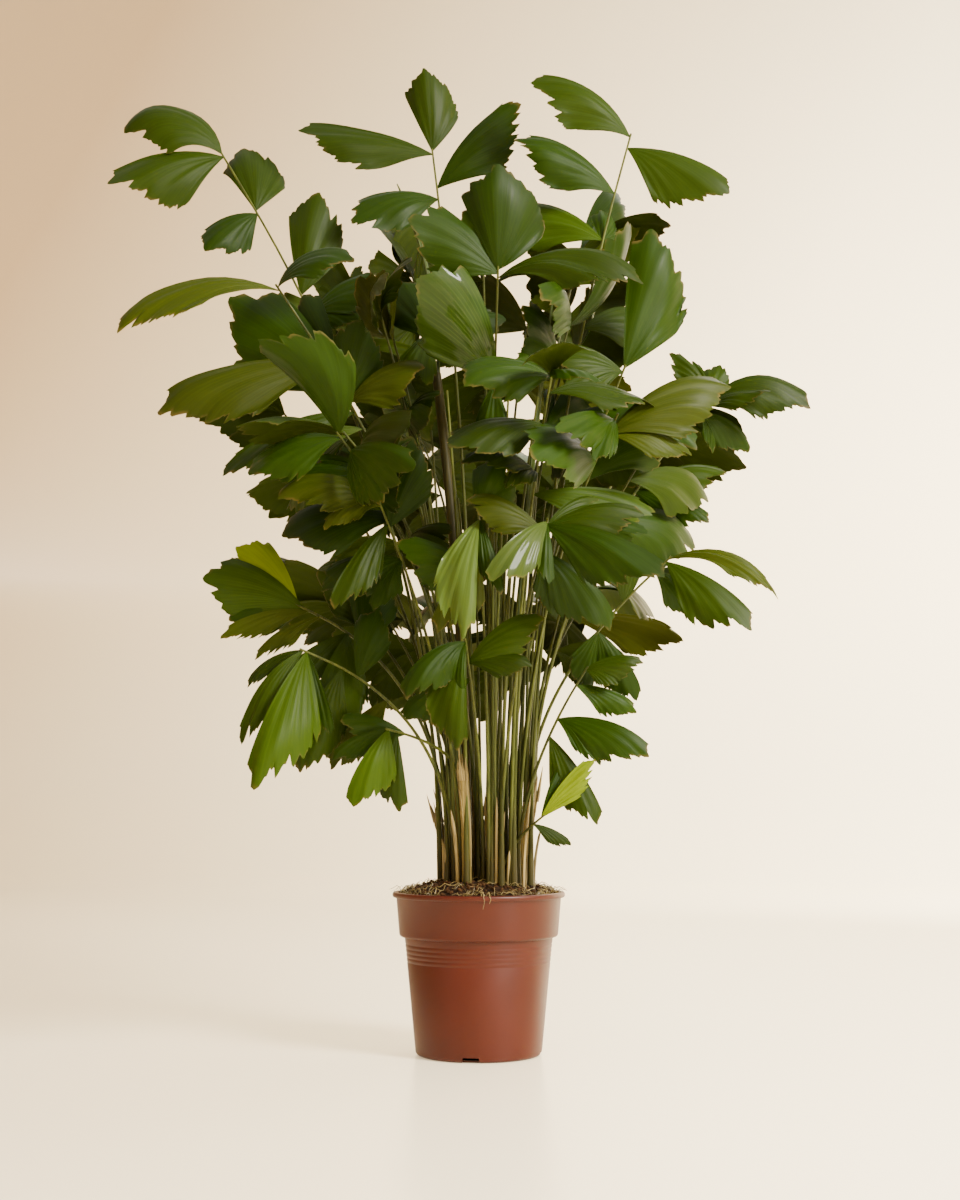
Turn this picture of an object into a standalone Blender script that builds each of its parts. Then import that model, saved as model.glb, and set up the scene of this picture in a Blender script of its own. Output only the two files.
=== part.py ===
# A fishtail palm in a round nursery pot, in metres, +Z up, standing on z = 0 with the pot's axis on Z.
# The front of the plant faces -Y and its right side +X.

import math
import random
from typing import NamedTuple

import bmesh
import bpy
from mathutils import Matrix, Vector
from mathutils.bvhtree import BVHTree

# Pot: a tapered wall under a taller collar, with a lip round the mouth
POT_HEIGHT = 0.250
POT_SIDES = 32
WALL = 0.0026
FLOOR = 0.003
BASE_RADIUS = 0.0925
BASE_CORNER = 0.0065
STEP_HEIGHT = 0.181
STEP_RADIUS = 0.1165
COLLAR_FOOT_RADIUS = 0.1250
COLLAR_TOP_RADIUS = 0.1300
LIP_RADIUS = 0.1360
LIP_DEPTH = 0.008
ROUNDING = 0.001
COLLAR_CORNER = 0.005
NOTCHES = 4
NOTCH_WIDTH = 0.032
NOTCH_HEIGHT = 0.008
NOTCH_DEPTH = 0.004
NOTCH_SLANT = 0.004
NOTCH_TURN = math.radians(-97)

# Soil: it fills the pot and mounds over the rim, with a level top that the stems stand on
SOIL_TOP = 0.262
SOIL_LEVEL_RADIUS = 0.106
SOIL_EDGE_HEIGHT = 0.243
GAP = 0.0003
SMOOTH_UP_TO = math.radians(45)

# Stems: the clump's feet stand on a grid of spots, a little right of the pot's axis
CLUMP_CENTRE = Vector((0.016, 0.0, SOIL_TOP + GAP))
CLUMP_RADIUS = 0.086
SPOT_STEP = 0.0170
CANE_COUNT = 10
CANE_TURN = 137.5
CANE_CIRCLE = 0.82
CANE_RADIUS = 0.0074
CANE_SIDES = 6
CANE_PARTS = 3
CANE_SWELL = 0.05
CANE_LEAN = 0.22
CANE_LOW = 0.33
CANE_HIGH = 0.45
SEATS_ON_A_CANE = 3
SEAT_OFFSET = 0.0046
CULM_RADIUS = 0.0078
CULM_FOOT = Vector((-0.018, 0.006, SOIL_TOP + GAP))
CULM_TOP = Vector((-0.070, 0.010, 1.090))
SEATS_ON_THE_CULM = 2
CULM_SEATS_TURN = 150

# Stalks: a petiole that runs on into the rib of its frond
STALK_SIDES = 5
STALK_PARTS = 7
STALK_TIP_RADIUS = 0.0017
STALK_FOOT_RADIUS = 0.0032
STALK_BENDS = (2.0, 1.7, 2.4)
SEATS_TRIED = 24
LEAN_SPREAD = 0.30
SPEAR_FOLD = 0.62
SPEAR_RADIUS = 0.0056
SPEAR_POINT_RADIUS = 0.0009

# Leaflets: wedges that open from a narrow neck to a ragged outer edge
THICKNESS_SHARE = 1 / 52
NECK_SHARE = 0.55
NECK_LEAST = 0.0008
FIRST_NECK = 0.005
NECK_STEP = 0.006
WIDE = math.radians(38)
BROAD = math.radians(55)
LONG_BEND = 0.27
BELLY = 0.22
SHORT_EDGE = 0.42
RAGGED = 0.07
CROSS_ARCH = 0.45
ARCH_RUN = 0.3
DOWNWARD_PULL = 1.5
FAN_SPREAD = math.radians(50)
FAN_PEAK = 0.35
WEDGE_PEAK = 0.7
LOW_SIDE = -0.2
CLEARANCE = 0.0011
CROWN_FOOT = 0.29
CROWN_REACH = 0.70
TRIES = ((0, 0, 0), (0, 9, 8), (0, -9, -8), (6, 14, 0), (-6, -14, 0), (0, 20, 15), (0, -20, -15),
         (10, 0, 25), (-10, 0, -25), (12, 26, 12), (-12, -26, -12), (0, 34, 0), (0, -34, 0))


class Leaflet(NamedTuple):
    """One leaflet as the front view shows it: lengths in metres, angles in degrees."""
    below: float        # down the rib from the frond's tip to the leaflet's neck
    clock: float        # where it points, seen from the front: 0 right, 90 up, 180 left
    length: float
    spread: float       # how wide the wedge opens
    facing: float       # 0 lies level, 90 stands facing the front
    toward: float = 0   # how far it points out of the front plane, towards the front
    droop: float = 50   # how far it bends over from neck to tip


class Frond(NamedTuple):
    name: str
    tip: tuple
    leaflets: tuple = ()
    sag: float = 0      # 0 rises evenly, 1 ends level
    carrier: str = ""


FRONT_FRONDS = (
    Frond("frond_upper_left", (-0.44, 0.06, 1.49), (
        Leaflet(0.00, 170, 0.205, 54, 56, 5, 120),
        Leaflet(0.00, -160, 0.210, 50, 72, 15, 45),
        Leaflet(0.12, 103, 0.150, 66, 77, -12, 35),
        Leaflet(0.12, -138, 0.120, 66, 78, 15, 40),
        Leaflet(0.29, 82, 0.195, 52, 82, -8, 30),
        Leaflet(0.33, 20, 0.150, 52, 60, 10, 60))),
    Frond("frond_high_left", (-0.32, -0.12, 1.20), (
        Leaflet(0.00, 16, 0.150, 52, 45, 10, 100),
        Leaflet(0.00, -161, 0.285, 24, 45, 10, 75),
        Leaflet(0.15, -161, 0.295, 36, 62, 8, 60),
        Leaflet(0.20, 139, 0.265, 52, 84, -8, 25),
        Leaflet(0.19, 80, 0.130, 66, 82, 12, 35),
        Leaflet(0.19, 20, 0.145, 50, 66, 20, 60),
        Leaflet(0.23, -150, 0.245, 32, 66, 12, 50),
        Leaflet(0.26, -170, 0.110, 32, 60, -10, 45))),
    Frond("frond_top", (-0.08, 0.07, 1.50), (
        Leaflet(0.00, 96, 0.145, 60, 87, 5, 15),
        Leaflet(0.00, 172, 0.235, 36, 68, 5, 30),
        Leaflet(0.07, 44, 0.210, 42, 70, 5, 40),
        Leaflet(0.09, -156, 0.175, 52, 66, 20, 55))),
    Frond("frond_centre_fan", (0.03, -0.18, 1.21), (
        Leaflet(0.00, 90, 0.165, 80, 86, 12, 35),
        Leaflet(0.00, 152, 0.165, 62, 82, 15, 35),
        Leaflet(0.00, -6, 0.250, 32, 50, 10, 85),
        Leaflet(0.02, 22, 0.150, 26, 45, -15, 55),
        Leaflet(0.17, 131, 0.215, 60, 84, 20, 40),
        Leaflet(0.15, -80, 0.120, 48, 82, 10, 30))),
    Frond("frond_upper_right", (0.25, -0.04, 1.48), (
        Leaflet(0.00, 152, 0.200, 42, 64, 5, 65),
        Leaflet(0.02, -28, 0.190, 50, 72, 5, 40),
        Leaflet(0.10, 154, 0.195, 42, 64, 8, 55),
        Leaflet(0.18, 156, 0.200, 44, 60, -18, 50),
        Leaflet(0.18, 88, 0.080, 52, 70, -25, 40),
        Leaflet(0.33, 10, 0.150, 54, 70, -25, 50),
        Leaflet(0.48, -17, 0.240, 46, 58, 8, 75))),
    Frond("frond_right_fan", (0.23, -0.12, 1.07), (
        Leaflet(0.00, 78, 0.235, 50, 87, 0, 25),
        Leaflet(0.00, 172, 0.130, 52, 60, 10, 55),
        Leaflet(0.11, -50, 0.120, 74, 82, 5, 30),
        Leaflet(0.12, 150, 0.140, 56, 68, -25, 45))),
    Frond("frond_right_arm", (0.39, 0.05, 1.06), (
        Leaflet(0.00, 131, 0.108, 40, 68, 0, 50),
        Leaflet(0.00, 70, 0.080, 66, 77, -15, 40),
        Leaflet(0.00, -4, 0.200, 42, 62, 5, 110),
        Leaflet(0.02, 6, 0.125, 36, 45, 30, 50),
        Leaflet(0.03, -35, 0.120, 44, 70, -20, 60),
        Leaflet(0.20, 10, 0.160, 34, 58, 0, 60),
        Leaflet(0.20, -27, 0.140, 44, 68, 18, 45),
        Leaflet(0.24, -60, 0.130, 48, 76, -10, 40))),
    Frond("frond_right_mid", (0.30, -0.10, 0.77), (
        Leaflet(0.00, -22, 0.205, 20, 48, 5, 95),
        Leaflet(0.00, -42, 0.180, 44, 70, 15, 45),
        Leaflet(0.03, -40, 0.110, 52, 74, -20, 40),
        Leaflet(0.10, 100, 0.120, 52, 70, 15, 45),
        Leaflet(0.16, -60, 0.130, 48, 77, -15, 40))),
    Frond("frond_centre_right", (0.10, -0.28, 0.80), (
        Leaflet(0.00, -131, 0.145, 42, 78, 25, 50),
        Leaflet(0.00, -28, 0.205, 42, 73, 20, 45),
        Leaflet(0.00, 8, 0.155, 40, 54, 0, 60),
        Leaflet(0.02, 158, 0.130, 44, 54, 5, 60),
        Leaflet(0.05, -48, 0.165, 46, 70, -10, 50))),
    Frond("frond_centre_left", (0.00, -0.27, 0.81), (
        Leaflet(0.00, 80, 0.100, 80, 84, 15, 40),
        Leaflet(0.00, -97, 0.200, 34, 84, 20, 40),
        Leaflet(0.06, -118, 0.140, 44, 77, -5, 40),
        Leaflet(0.10, 160, 0.140, 50, 67, 0, 50))),
    Frond("frond_left_mid", (-0.15, -0.18, 0.84), (
        Leaflet(0.00, 178, 0.180, 40, 50, 10, 100),
        Leaflet(0.00, 150, 0.130, 48, 64, -20, 60),
        Leaflet(0.03, -119, 0.170, 32, 70, 15, 50),
        Leaflet(0.00, 76, 0.150, 62, 84, 0, 35),
        Leaflet(0.09, -160, 0.140, 52, 70, -10, 50))),
    Frond("frond_left_low", (-0.29, -0.06, 0.70), (
        Leaflet(0.00, 137, 0.145, 62, 80, -5, 30),
        Leaflet(0.01, 165, 0.170, 60, 78, 8, 40),
        Leaflet(0.02, -161, 0.150, 26, 64, 0, 50),
        Leaflet(0.04, -144, 0.130, 24, 64, 15, 50),
        Leaflet(0.09, -103, 0.215, 40, 80, 25, 45),
        Leaflet(0.12, 85, 0.140, 60, 80, -15, 30)), sag=0.55),
    Frond("frond_left_hang", (-0.27, -0.16, 0.62), (
        Leaflet(0.00, -122, 0.180, 26, 70, 0, 70),
        Leaflet(0.00, -108, 0.235, 38, 80, 15, 45),
        Leaflet(0.07, -111, 0.180, 38, 80, 0, 50),
        Leaflet(0.10, 75, 0.120, 52, 72, -10, 40),
        Leaflet(0.16, -130, 0.150, 42, 74, -15, 50)), sag=0.55),
    Frond("frond_foot_left", (-0.14, -0.15, 0.50), (
        Leaflet(0.00, -114, 0.135, 48, 80, 10, 55),
        Leaflet(0.02, -88, 0.125, 46, 82, 20, 45),
        Leaflet(0.04, 170, 0.110, 46, 70, -15, 50)), sag=0.4),
    Frond("frond_centre_low", (-0.02, -0.22, 0.63), (
        Leaflet(0.00, -135, 0.140, 42, 70, 10, 90),
        Leaflet(0.00, -95, 0.165, 42, 82, 15, 50),
        Leaflet(0.04, 30, 0.140, 42, 64, 5, 60),
        Leaflet(0.07, -150, 0.130, 48, 70, -20, 50))),
    Frond("frond_right_low", (0.17, -0.08, 0.60), (
        Leaflet(0.00, 6, 0.095, 44, 64, 5, 60),
        Leaflet(0.03, -24, 0.110, 42, 67, -10, 50),
        Leaflet(0.09, -24, 0.165, 40, 68, 15, 60),
        Leaflet(0.12, -62, 0.160, 38, 77, 5, 40))),
    Frond("frond_foot_right", (0.10, -0.09, 0.37), (
        Leaflet(0.00, 47, 0.125, 30, 74, 5, 35),
        Leaflet(0.02, -30, 0.070, 34, 70, -10, 40))),
    Frond("frond_culm", (-0.08, -0.03, 1.15), (
        Leaflet(0.00, -97, 0.140, 48, 84, 25, 35),
        Leaflet(0.00, 20, 0.150, 54, 74, -25, 45),
        Leaflet(0.01, 118, 0.140, 56, 74, -30, 45)), carrier="culm"),
)

SPEARS = (
    Frond("spear_left", (-0.14, 0.08, 1.44), carrier="culm"),
    Frond("spear_right", (0.12, -0.12, 1.20)),
)

# Fronds that the front hides grow by rule: (name, count, height, reach, first and last azimuth, rib length)
# Azimuth 0 is the right side, 90 the back, 180 the left side and 270 the front.
WHORLS = (
    ("frond_back_high", 5, 1.30, 0.26, 36, 148, 0.34),
    ("frond_back_mid", 6, 1.02, 0.40, 28, 156, 0.30),
    ("frond_back_low", 5, 0.72, 0.34, 44, 150, 0.24),
    ("frond_side_right", 3, 0.95, 0.28, -76, -22, 0.26),
    ("frond_side_left", 2, 0.98, 0.28, 200, 240, 0.26),
    ("frond_flank_right", 2, 1.16, 0.17, -52, 24, 0.26),
    ("frond_flank_left", 2, 1.22, 0.17, 158, 214, 0.26),
)
WHORL_SEED = 11
PAIR_STEP = 0.080
PAIR_SHRINK = 0.05
PAIR_OFFSET = 0.4
TIP_ANGLE = 12
SIDE_ANGLES = (34, 82)
SIDE_LENGTHS = (0.155, 0.235)
SIDE_SPREADS = (34, 60)
SIDE_LIFTS = (-5, 60)
SIDE_TILTS = (30, 84)
SIDE_DROOPS = (35, 95)
AZIMUTH_PLAY = (-6, 6)
REACH_PLAY = (0.85, 1.15)
HEIGHT_PLAY = (-0.08, 0.08)
SAG_PLAY = (0.0, 0.4)


def unit(azimuth):
    """Level unit vector at an azimuth in degrees."""
    turn = math.radians(azimuth)
    return Vector((math.cos(turn), math.sin(turn), 0.0))


def material(name, colour, roughness):
    made = bpy.data.materials.new(name)
    made.use_nodes = True
    shader = made.node_tree.nodes["Principled BSDF"]
    shader.inputs["Base Color"].default_value = (*colour, 1.0)
    shader.inputs["Roughness"].default_value = roughness
    shader.inputs["Metallic"].default_value = 0.0
    return made


def new_object(name, points, faces, finish=None):
    mesh = bpy.data.meshes.new(name)
    mesh.from_pydata([tuple(point) for point in points], [], faces)
    mesh.update()
    if finish:
        mesh.materials.append(finish)
    made = bpy.data.objects.new(name, mesh)
    bpy.context.scene.collection.objects.link(made)
    return made


# Pot and soil

def turned(profile, sides):
    """Points and faces of a closed solid of revolution. The profile runs from axis to axis, outside first."""
    points = [Vector((0.0, 0.0, profile[0][1]))]
    for radius, height in profile[1:-1]:
        for side in range(sides):
            turn = 2 * math.pi * side / sides
            points.append(Vector((radius * math.cos(turn), radius * math.sin(turn), height)))
    points.append(Vector((0.0, 0.0, profile[-1][1])))
    faces = []
    rings = len(profile) - 2
    last = len(points) - 1
    for side in range(sides):
        after = (side + 1) % sides
        faces.append((0, 1 + after, 1 + side))
        for ring in range(rings - 1):
            low = 1 + ring * sides
            high = low + sides
            faces.append((low + side, low + after, high + after, high + side))
        top = 1 + (rings - 1) * sides
        faces.append((top + side, top + after, last))
    return points, faces


def pot_outline():
    """The outer side, up from the middle of the base, over the lip and down the inner side."""
    slope = (STEP_RADIUS - BASE_RADIUS - BASE_CORNER) / STEP_HEIGHT
    corner = [(BASE_RADIUS + BASE_CORNER * math.sin(turn), BASE_CORNER * (1 - math.cos(turn)))
              for turn in (0.0, math.pi / 4, math.pi / 2)]
    under_lip = POT_HEIGHT - LIP_DEPTH
    outer = [(0.0, 0.0)] + corner + [
        (STEP_RADIUS, STEP_HEIGHT),
        (COLLAR_FOOT_RADIUS - 0.4 * COLLAR_CORNER, STEP_HEIGHT + 0.3 * COLLAR_CORNER),
        (COLLAR_FOOT_RADIUS, STEP_HEIGHT + COLLAR_CORNER),
        (COLLAR_TOP_RADIUS, under_lip),
        (LIP_RADIUS, under_lip + ROUNDING),
        (LIP_RADIUS, POT_HEIGHT - ROUNDING),
        (LIP_RADIUS - ROUNDING, POT_HEIGHT)]
    inner_floor = BASE_RADIUS + BASE_CORNER + slope * FLOOR - WALL
    inner = [
        (COLLAR_TOP_RADIUS - WALL, POT_HEIGHT),
        (COLLAR_FOOT_RADIUS - WALL, STEP_HEIGHT + COLLAR_CORNER + ROUNDING),
        (STEP_RADIUS - WALL, STEP_HEIGHT - WALL),
        (inner_floor, FLOOR),
        (0.0, FLOOR)]
    return outer, inner


def build_pot(finish):
    outer, inner = pot_outline()
    pot = new_object("pot", *turned(outer + inner, POT_SIDES), finish)
    cutters = bpy.data.collections.new("pot_notches")
    bpy.context.scene.collection.children.link(cutters)
    for count in range(NOTCHES):
        cutter = notch_cutter("notch_%d" % count, NOTCH_TURN + 2 * math.pi * count / NOTCHES)
        bpy.context.scene.collection.objects.unlink(cutter)
        cutters.objects.link(cutter)
    cut = pot.modifiers.new("notches", "BOOLEAN")
    cut.operation = "DIFFERENCE"
    cut.solver = "EXACT"
    cut.operand_type = "COLLECTION"
    cut.collection = cutters
    apply_modifiers(pot)
    discard(cutters)
    shade(pot)


def notch_cutter(name, turn):
    """A wedge-sided block that opens a drainage notch through the base's corner."""
    inside = BASE_RADIUS - NOTCH_DEPTH
    outside = STEP_RADIUS
    low = NOTCH_WIDTH / 2
    high = low - NOTCH_SLANT
    under = -NOTCH_HEIGHT
    points = [Matrix.Rotation(turn, 3, "Z") @ Vector(point) for point in (
        (inside, -low, under), (outside, -low, under), (outside, low, under), (inside, low, under),
        (inside, -high, NOTCH_HEIGHT), (outside, -high, NOTCH_HEIGHT),
        (outside, high, NOTCH_HEIGHT), (inside, high, NOTCH_HEIGHT))]
    faces = [(3, 2, 1, 0), (4, 5, 6, 7), (0, 1, 5, 4), (1, 2, 6, 5), (2, 3, 7, 6), (3, 0, 4, 7)]
    cutter = new_object(name, points, faces)
    cutter.hide_render = True
    cutter.display_type = "WIRE"
    return cutter


def build_soil(finish):
    """The soil follows the pot's inner side, clear of it, and rolls up to its level top."""
    inner = pot_outline()[1]
    lip_wall, collar_foot, step, base = inner[:4]
    profile = [
        (0.0, FLOOR + GAP),
        (base[0] - 2 * GAP, FLOOR + GAP),
        (step[0] - 2 * GAP, step[1]),
        (collar_foot[0] - 4 * GAP, collar_foot[1]),
        (lip_wall[0] - 4 * GAP, SOIL_EDGE_HEIGHT),
        ((SOIL_LEVEL_RADIUS + lip_wall[0]) / 2, (SOIL_EDGE_HEIGHT + 2 * SOIL_TOP) / 3),
        (SOIL_LEVEL_RADIUS, SOIL_TOP),
        (0.0, SOIL_TOP)]
    soil = new_object("soil", *turned(profile, POT_SIDES), finish)
    shade(soil)


def shade(made):
    made.data.shade_smooth()
    made.data.set_sharp_from_angle(angle=SMOOTH_UP_TO)


# Joining

def apply_modifiers(made):
    """Replaces an object's mesh by what its modifiers make of it."""
    graph = bpy.context.evaluated_depsgraph_get()
    result = bpy.data.meshes.new_from_object(made.evaluated_get(graph))
    made.modifiers.clear()
    made.data = result


def discard(collection):
    for helper in list(collection.objects):
        bpy.data.objects.remove(helper, do_unlink=True)
    bpy.data.collections.remove(collection)


def largest_body(mesh):
    """Keeps the largest closed body of a fused mesh, which drops loose scraps and fills sealed hollows."""
    form = bmesh.new()
    form.from_mesh(mesh)
    seen = set()
    bodies = []
    for start in form.verts:
        if start in seen:
            continue
        body = []
        seen.add(start)
        waiting = [start]
        while waiting:
            vert = waiting.pop()
            body.append(vert)
            for edge in vert.link_edges:
                other = edge.other_vert(vert)
                if other not in seen:
                    seen.add(other)
                    waiting.append(other)
        bodies.append(body)
    bodies.sort(key=len, reverse=True)
    extra = [vert for body in bodies[1:] for vert in body]
    bmesh.ops.delete(form, geom=extra, context="VERTS")
    form.to_mesh(mesh)
    form.free()


def join_frond(frond, stalk, blades, finish):
    """Fuses a stalk and its leaflets into one solid by one union on a collection."""
    body = new_object(frond.name, *stalk, finish)
    if not blades:
        shade(body)
        return
    group = bpy.data.collections.new(frond.name)
    bpy.context.scene.collection.children.link(group)
    for count, blade in enumerate(blades):
        leaf = new_object("%s_leaflet_%d" % (frond.name, count), *blade, finish)
        bpy.context.scene.collection.objects.unlink(leaf)
        group.objects.link(leaf)
    union = body.modifiers.new("join", "BOOLEAN")
    union.operation = "UNION"
    union.solver = "EXACT"
    union.operand_type = "COLLECTION"
    union.collection = group
    apply_modifiers(body)
    discard(group)
    largest_body(body.data)
    body.data.materials.clear()
    body.data.materials.append(finish)
    shade(body)


# Stalks

def tube(path, radii, sides, level=False):
    """Points and faces of a closed tube along a path. Its rings lie square to the path, or level."""
    points = []
    across = Vector((1.0, 0.0, 0.0))
    for place, centre in enumerate(path):
        before = path[max(place - 1, 0)]
        after = path[min(place + 1, len(path) - 1)]
        along = Vector((0.0, 0.0, 1.0)) if level or place == 0 else (after - before).normalized()
        across = (across - along * across.dot(along)).normalized()
        other = along.cross(across)
        for side in range(sides):
            turn = 2 * math.pi * side / sides
            points.append(centre + radii[place] * (across * math.cos(turn) + other * math.sin(turn)))
    faces = [tuple(reversed(range(sides)))]
    for place in range(len(path) - 1):
        low = place * sides
        for side in range(sides):
            after = (side + 1) % sides
            faces.append((low + side, low + after, low + sides + after, low + sides + side))
    faces.append(tuple(range((len(path) - 1) * sides, len(path) * sides)))
    return points, faces


def stalk_path(foot, tip, parts, bend=STALK_BENDS[0], sag=0.0):
    """A stalk leaves its foot upright and leans over more and more. Sag makes its end more level."""
    level = Vector((tip.x - foot.x, tip.y - foot.y, 0.0))
    rise = Vector((0.0, 0.0, tip.z - foot.z))
    shares = [step / parts for step in range(parts + 1)]
    return [foot + level * share ** bend + rise * share * (1 + sag * (1 - share)) for share in shares]


def stalk_radius(share):
    return STALK_FOOT_RADIUS + (STALK_TIP_RADIUS - STALK_FOOT_RADIUS) * share


def spear_radius(share):
    """A stalk whose last third is a folded, unopened blade that ends in a point."""
    folded = max((share - SPEAR_FOLD) / (1 - SPEAR_FOLD), 0.0)
    swell = math.sin(math.pi * folded ** 0.6) * (SPEAR_RADIUS - STALK_FOOT_RADIUS)
    return STALK_FOOT_RADIUS * (1 - folded) + SPEAR_POINT_RADIUS * folded + swell


def stalk_solid(path, radius, grow=0.0):
    parts = len(path) - 1
    return tube(path, [radius(step / parts) + grow for step in range(parts + 1)], STALK_SIDES)


def along_rib(path, distance):
    """Point, direction and share of the way up, a distance down the path from its tip."""
    for step in range(len(path) - 1, 0, -1):
        span = path[step] - path[step - 1]
        if distance <= span.length:
            point = path[step] - span.normalized() * distance
            share = (step - distance / span.length) / (len(path) - 1)
            return point, span.normalized(), share
        distance -= span.length
    return path[0], (path[1] - path[0]).normalized(), 0.0


# Leaflets

class Blade(NamedTuple):
    """A leaflet in space: its neck, its directions and its shape, with angles in radians."""
    neck: Vector
    along: Vector
    normal: Vector
    length: float
    spread: float
    droop: float
    neck_radius: float


def front_blade(leaflet, neck, neck_radius, change):
    clock = math.radians(leaflet.clock + change[0])
    toward = math.radians(leaflet.toward + change[1])
    facing = math.radians(leaflet.facing + change[2])
    along = Vector((math.cos(clock) * math.cos(toward), -math.sin(toward), math.sin(clock) * math.cos(toward)))
    upper = Vector((0.0, -math.sin(facing), math.cos(facing)))
    normal = (upper - along * upper.dot(along)).normalized()
    return Blade(neck, along, normal, leaflet.length, math.radians(leaflet.spread),
                 math.radians(leaflet.droop), neck_radius)


def outline_radius(across, peak):
    """Share of the length that a ray reaches, for across from -1, the short edge, to 1, the long edge."""
    fall = SHORT_EDGE * (abs(across - peak) / (1 + peak)) ** 1.5
    return 1 - fall


def blade_point(blade, along_share, across, raggedness):
    """A point of the blade's middle surface and the surface's normal there."""
    peak = FAN_PEAK if blade.spread > FAN_SPREAD else WEDGE_PEAK
    side = blade.normal.cross(blade.along)
    hand = 1.0 if side.z >= LOW_SIDE else -1.0
    reach = outline_radius(across, peak) * (1 - raggedness)
    turn = blade.spread / 2 * (across - peak) * (1 + BELLY * (1 - along_share))
    forward = along_share * reach * math.cos(turn)
    neck_width = NECK_SHARE * blade.neck_radius * across * (1 - along_share)
    sideways = hand * (along_share * reach * math.sin(turn) * blade.length + neck_width)
    upward = Vector((0.0, 0.0, 1.0)) - blade.along * blade.along.z
    bulge = (blade.normal + upward * DOWNWARD_PULL).normalized()
    slope = blade.droop * (0.5 - forward)
    level = (math.sin(blade.droop / 2) - math.sin(slope)) / blade.droop
    height = (math.cos(slope) - math.cos(blade.droop / 2)) / blade.droop
    bent = Matrix.Rotation(slope, 3, blade.along.cross(bulge))
    normal = bent @ blade.normal
    arch = CROSS_ARCH * sideways ** 2 / (ARCH_RUN * blade.length)
    point = (blade.neck + blade.length * (blade.along * level + bulge * height)
             + bent @ side * sideways - normal * arch)
    return point, normal


def blade_solid(blade, grow=0.0, first_row=0):
    """Points and faces of a leaflet: two skins that meet along its sides and its ragged outer edge."""
    rays = 2 + (blade.spread > WIDE) + (blade.spread > BROAD)
    rows = 3 if blade.length * blade.droop > LONG_BEND else 2
    thickness = blade.length * THICKNESS_SHARE + 2 * grow
    root = 2 * max(NECK_SHARE * blade.neck_radius, NECK_LEAST)
    upper = []
    lower = []
    points = []
    for row in range(first_row, rows + 1):
        upper_row = []
        lower_row = []
        for ray in range(rays + 1):
            across = 2 * ray / rays - 1
            ragged = RAGGED * ((ray + 1) % 2) * row / rows - grow / blade.length * 2
            point, normal = blade_point(blade, row / rows, across, ragged)
            upper_row.append(len(points))
            edge = ray in (0, rays) or row == rows
            if edge:
                points.append(point)
                lower_row.append(upper_row[-1])
                continue
            half = (root if row == 0 else thickness) / 2
            points.append(point + normal * half)
            lower_row.append(len(points))
            points.append(point - normal * half)
        upper.append(upper_row)
        lower.append(lower_row)
    faces = []
    flip = blade.normal.cross(blade.along).z < LOW_SIDE
    for row in range(len(upper) - 1):
        for ray in range(rays):
            top = (upper[row][ray], upper[row + 1][ray], upper[row + 1][ray + 1], upper[row][ray + 1])
            bottom = (lower[row][ray], lower[row][ray + 1], lower[row + 1][ray + 1], lower[row + 1][ray])
            faces += split_quad(top, flip) + split_quad(bottom, flip)
    cap = tuple(upper[0] + list(reversed(lower[0][1:-1])))
    faces.append(tuple(reversed(cap)) if flip else cap)
    return points, faces


def split_quad(corners, flip):
    """Two triangles for a corner list, or one where two of its corners are the same."""
    found = []
    for triple in ((corners[0], corners[1], corners[2]), (corners[0], corners[2], corners[3])):
        if len(set(triple)) == 3:
            found.append(tuple(reversed(triple)) if flip else triple)
    return found


# Keeping solids apart

class Space:
    """The solids placed so far. Each keeps a box for a quick first test, and the part that is free of its stalk."""

    def __init__(self):
        self.placed = []

    def add(self, owner, whole, free=None):
        whole_tree = BVHTree.FromPolygons(*whole)
        free_tree = BVHTree.FromPolygons(*free) if free else whole_tree
        self.placed.append((owner, box_of(whole[0]), whole_tree, free_tree))

    def clear(self, whole, owner="", free=None):
        """Whether a solid touches no other, and its free part nothing that its owner has placed."""
        box = box_of(whole[0])
        near = [entry for entry in self.placed if boxes_meet(box, entry[1])]
        if not near:
            return True
        whole_tree = BVHTree.FromPolygons(*whole)
        free_tree = BVHTree.FromPolygons(*free) if free else whole_tree
        for other, _, other_whole, other_free in near:
            hits = free_tree.overlap(other_free) if other == owner else whole_tree.overlap(other_whole)
            if hits:
                return False
        return True


def box_of(points):
    return ([min(point[axis] for point in points) for axis in range(3)],
            [max(point[axis] for point in points) for axis in range(3)])


def boxes_meet(one, other):
    return all(one[0][axis] <= other[1][axis] and other[0][axis] <= one[1][axis] for axis in range(3))


# Growing the plant

def grid_spots():
    """Places for feet on the soil's level top, nearest to the clump's middle first."""
    spots = []
    steps = int(CLUMP_RADIUS / SPOT_STEP) + 2
    for row in range(-steps, steps + 1):
        for column in range(-steps, steps + 1):
            offset = Vector(((column + 0.5 * (row % 2)) * SPOT_STEP, row * SPOT_STEP * math.sqrt(0.75), 0.0))
            if offset.length <= CLUMP_RADIUS:
                spots.append(CLUMP_CENTRE + offset)
    spots.sort(key=lambda spot: (round((spot - CLUMP_CENTRE).length, 5), spot.y, spot.x))
    return spots


def cane_solid(foot, top, radius, grow=0.0):
    path = stalk_path(foot, top, CANE_PARTS)
    radii = [radius * (1 + CANE_SWELL * (step % 2)) + grow for step in range(CANE_PARTS + 1)]
    return tube(path, radii, CANE_SIDES, level=True)


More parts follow.
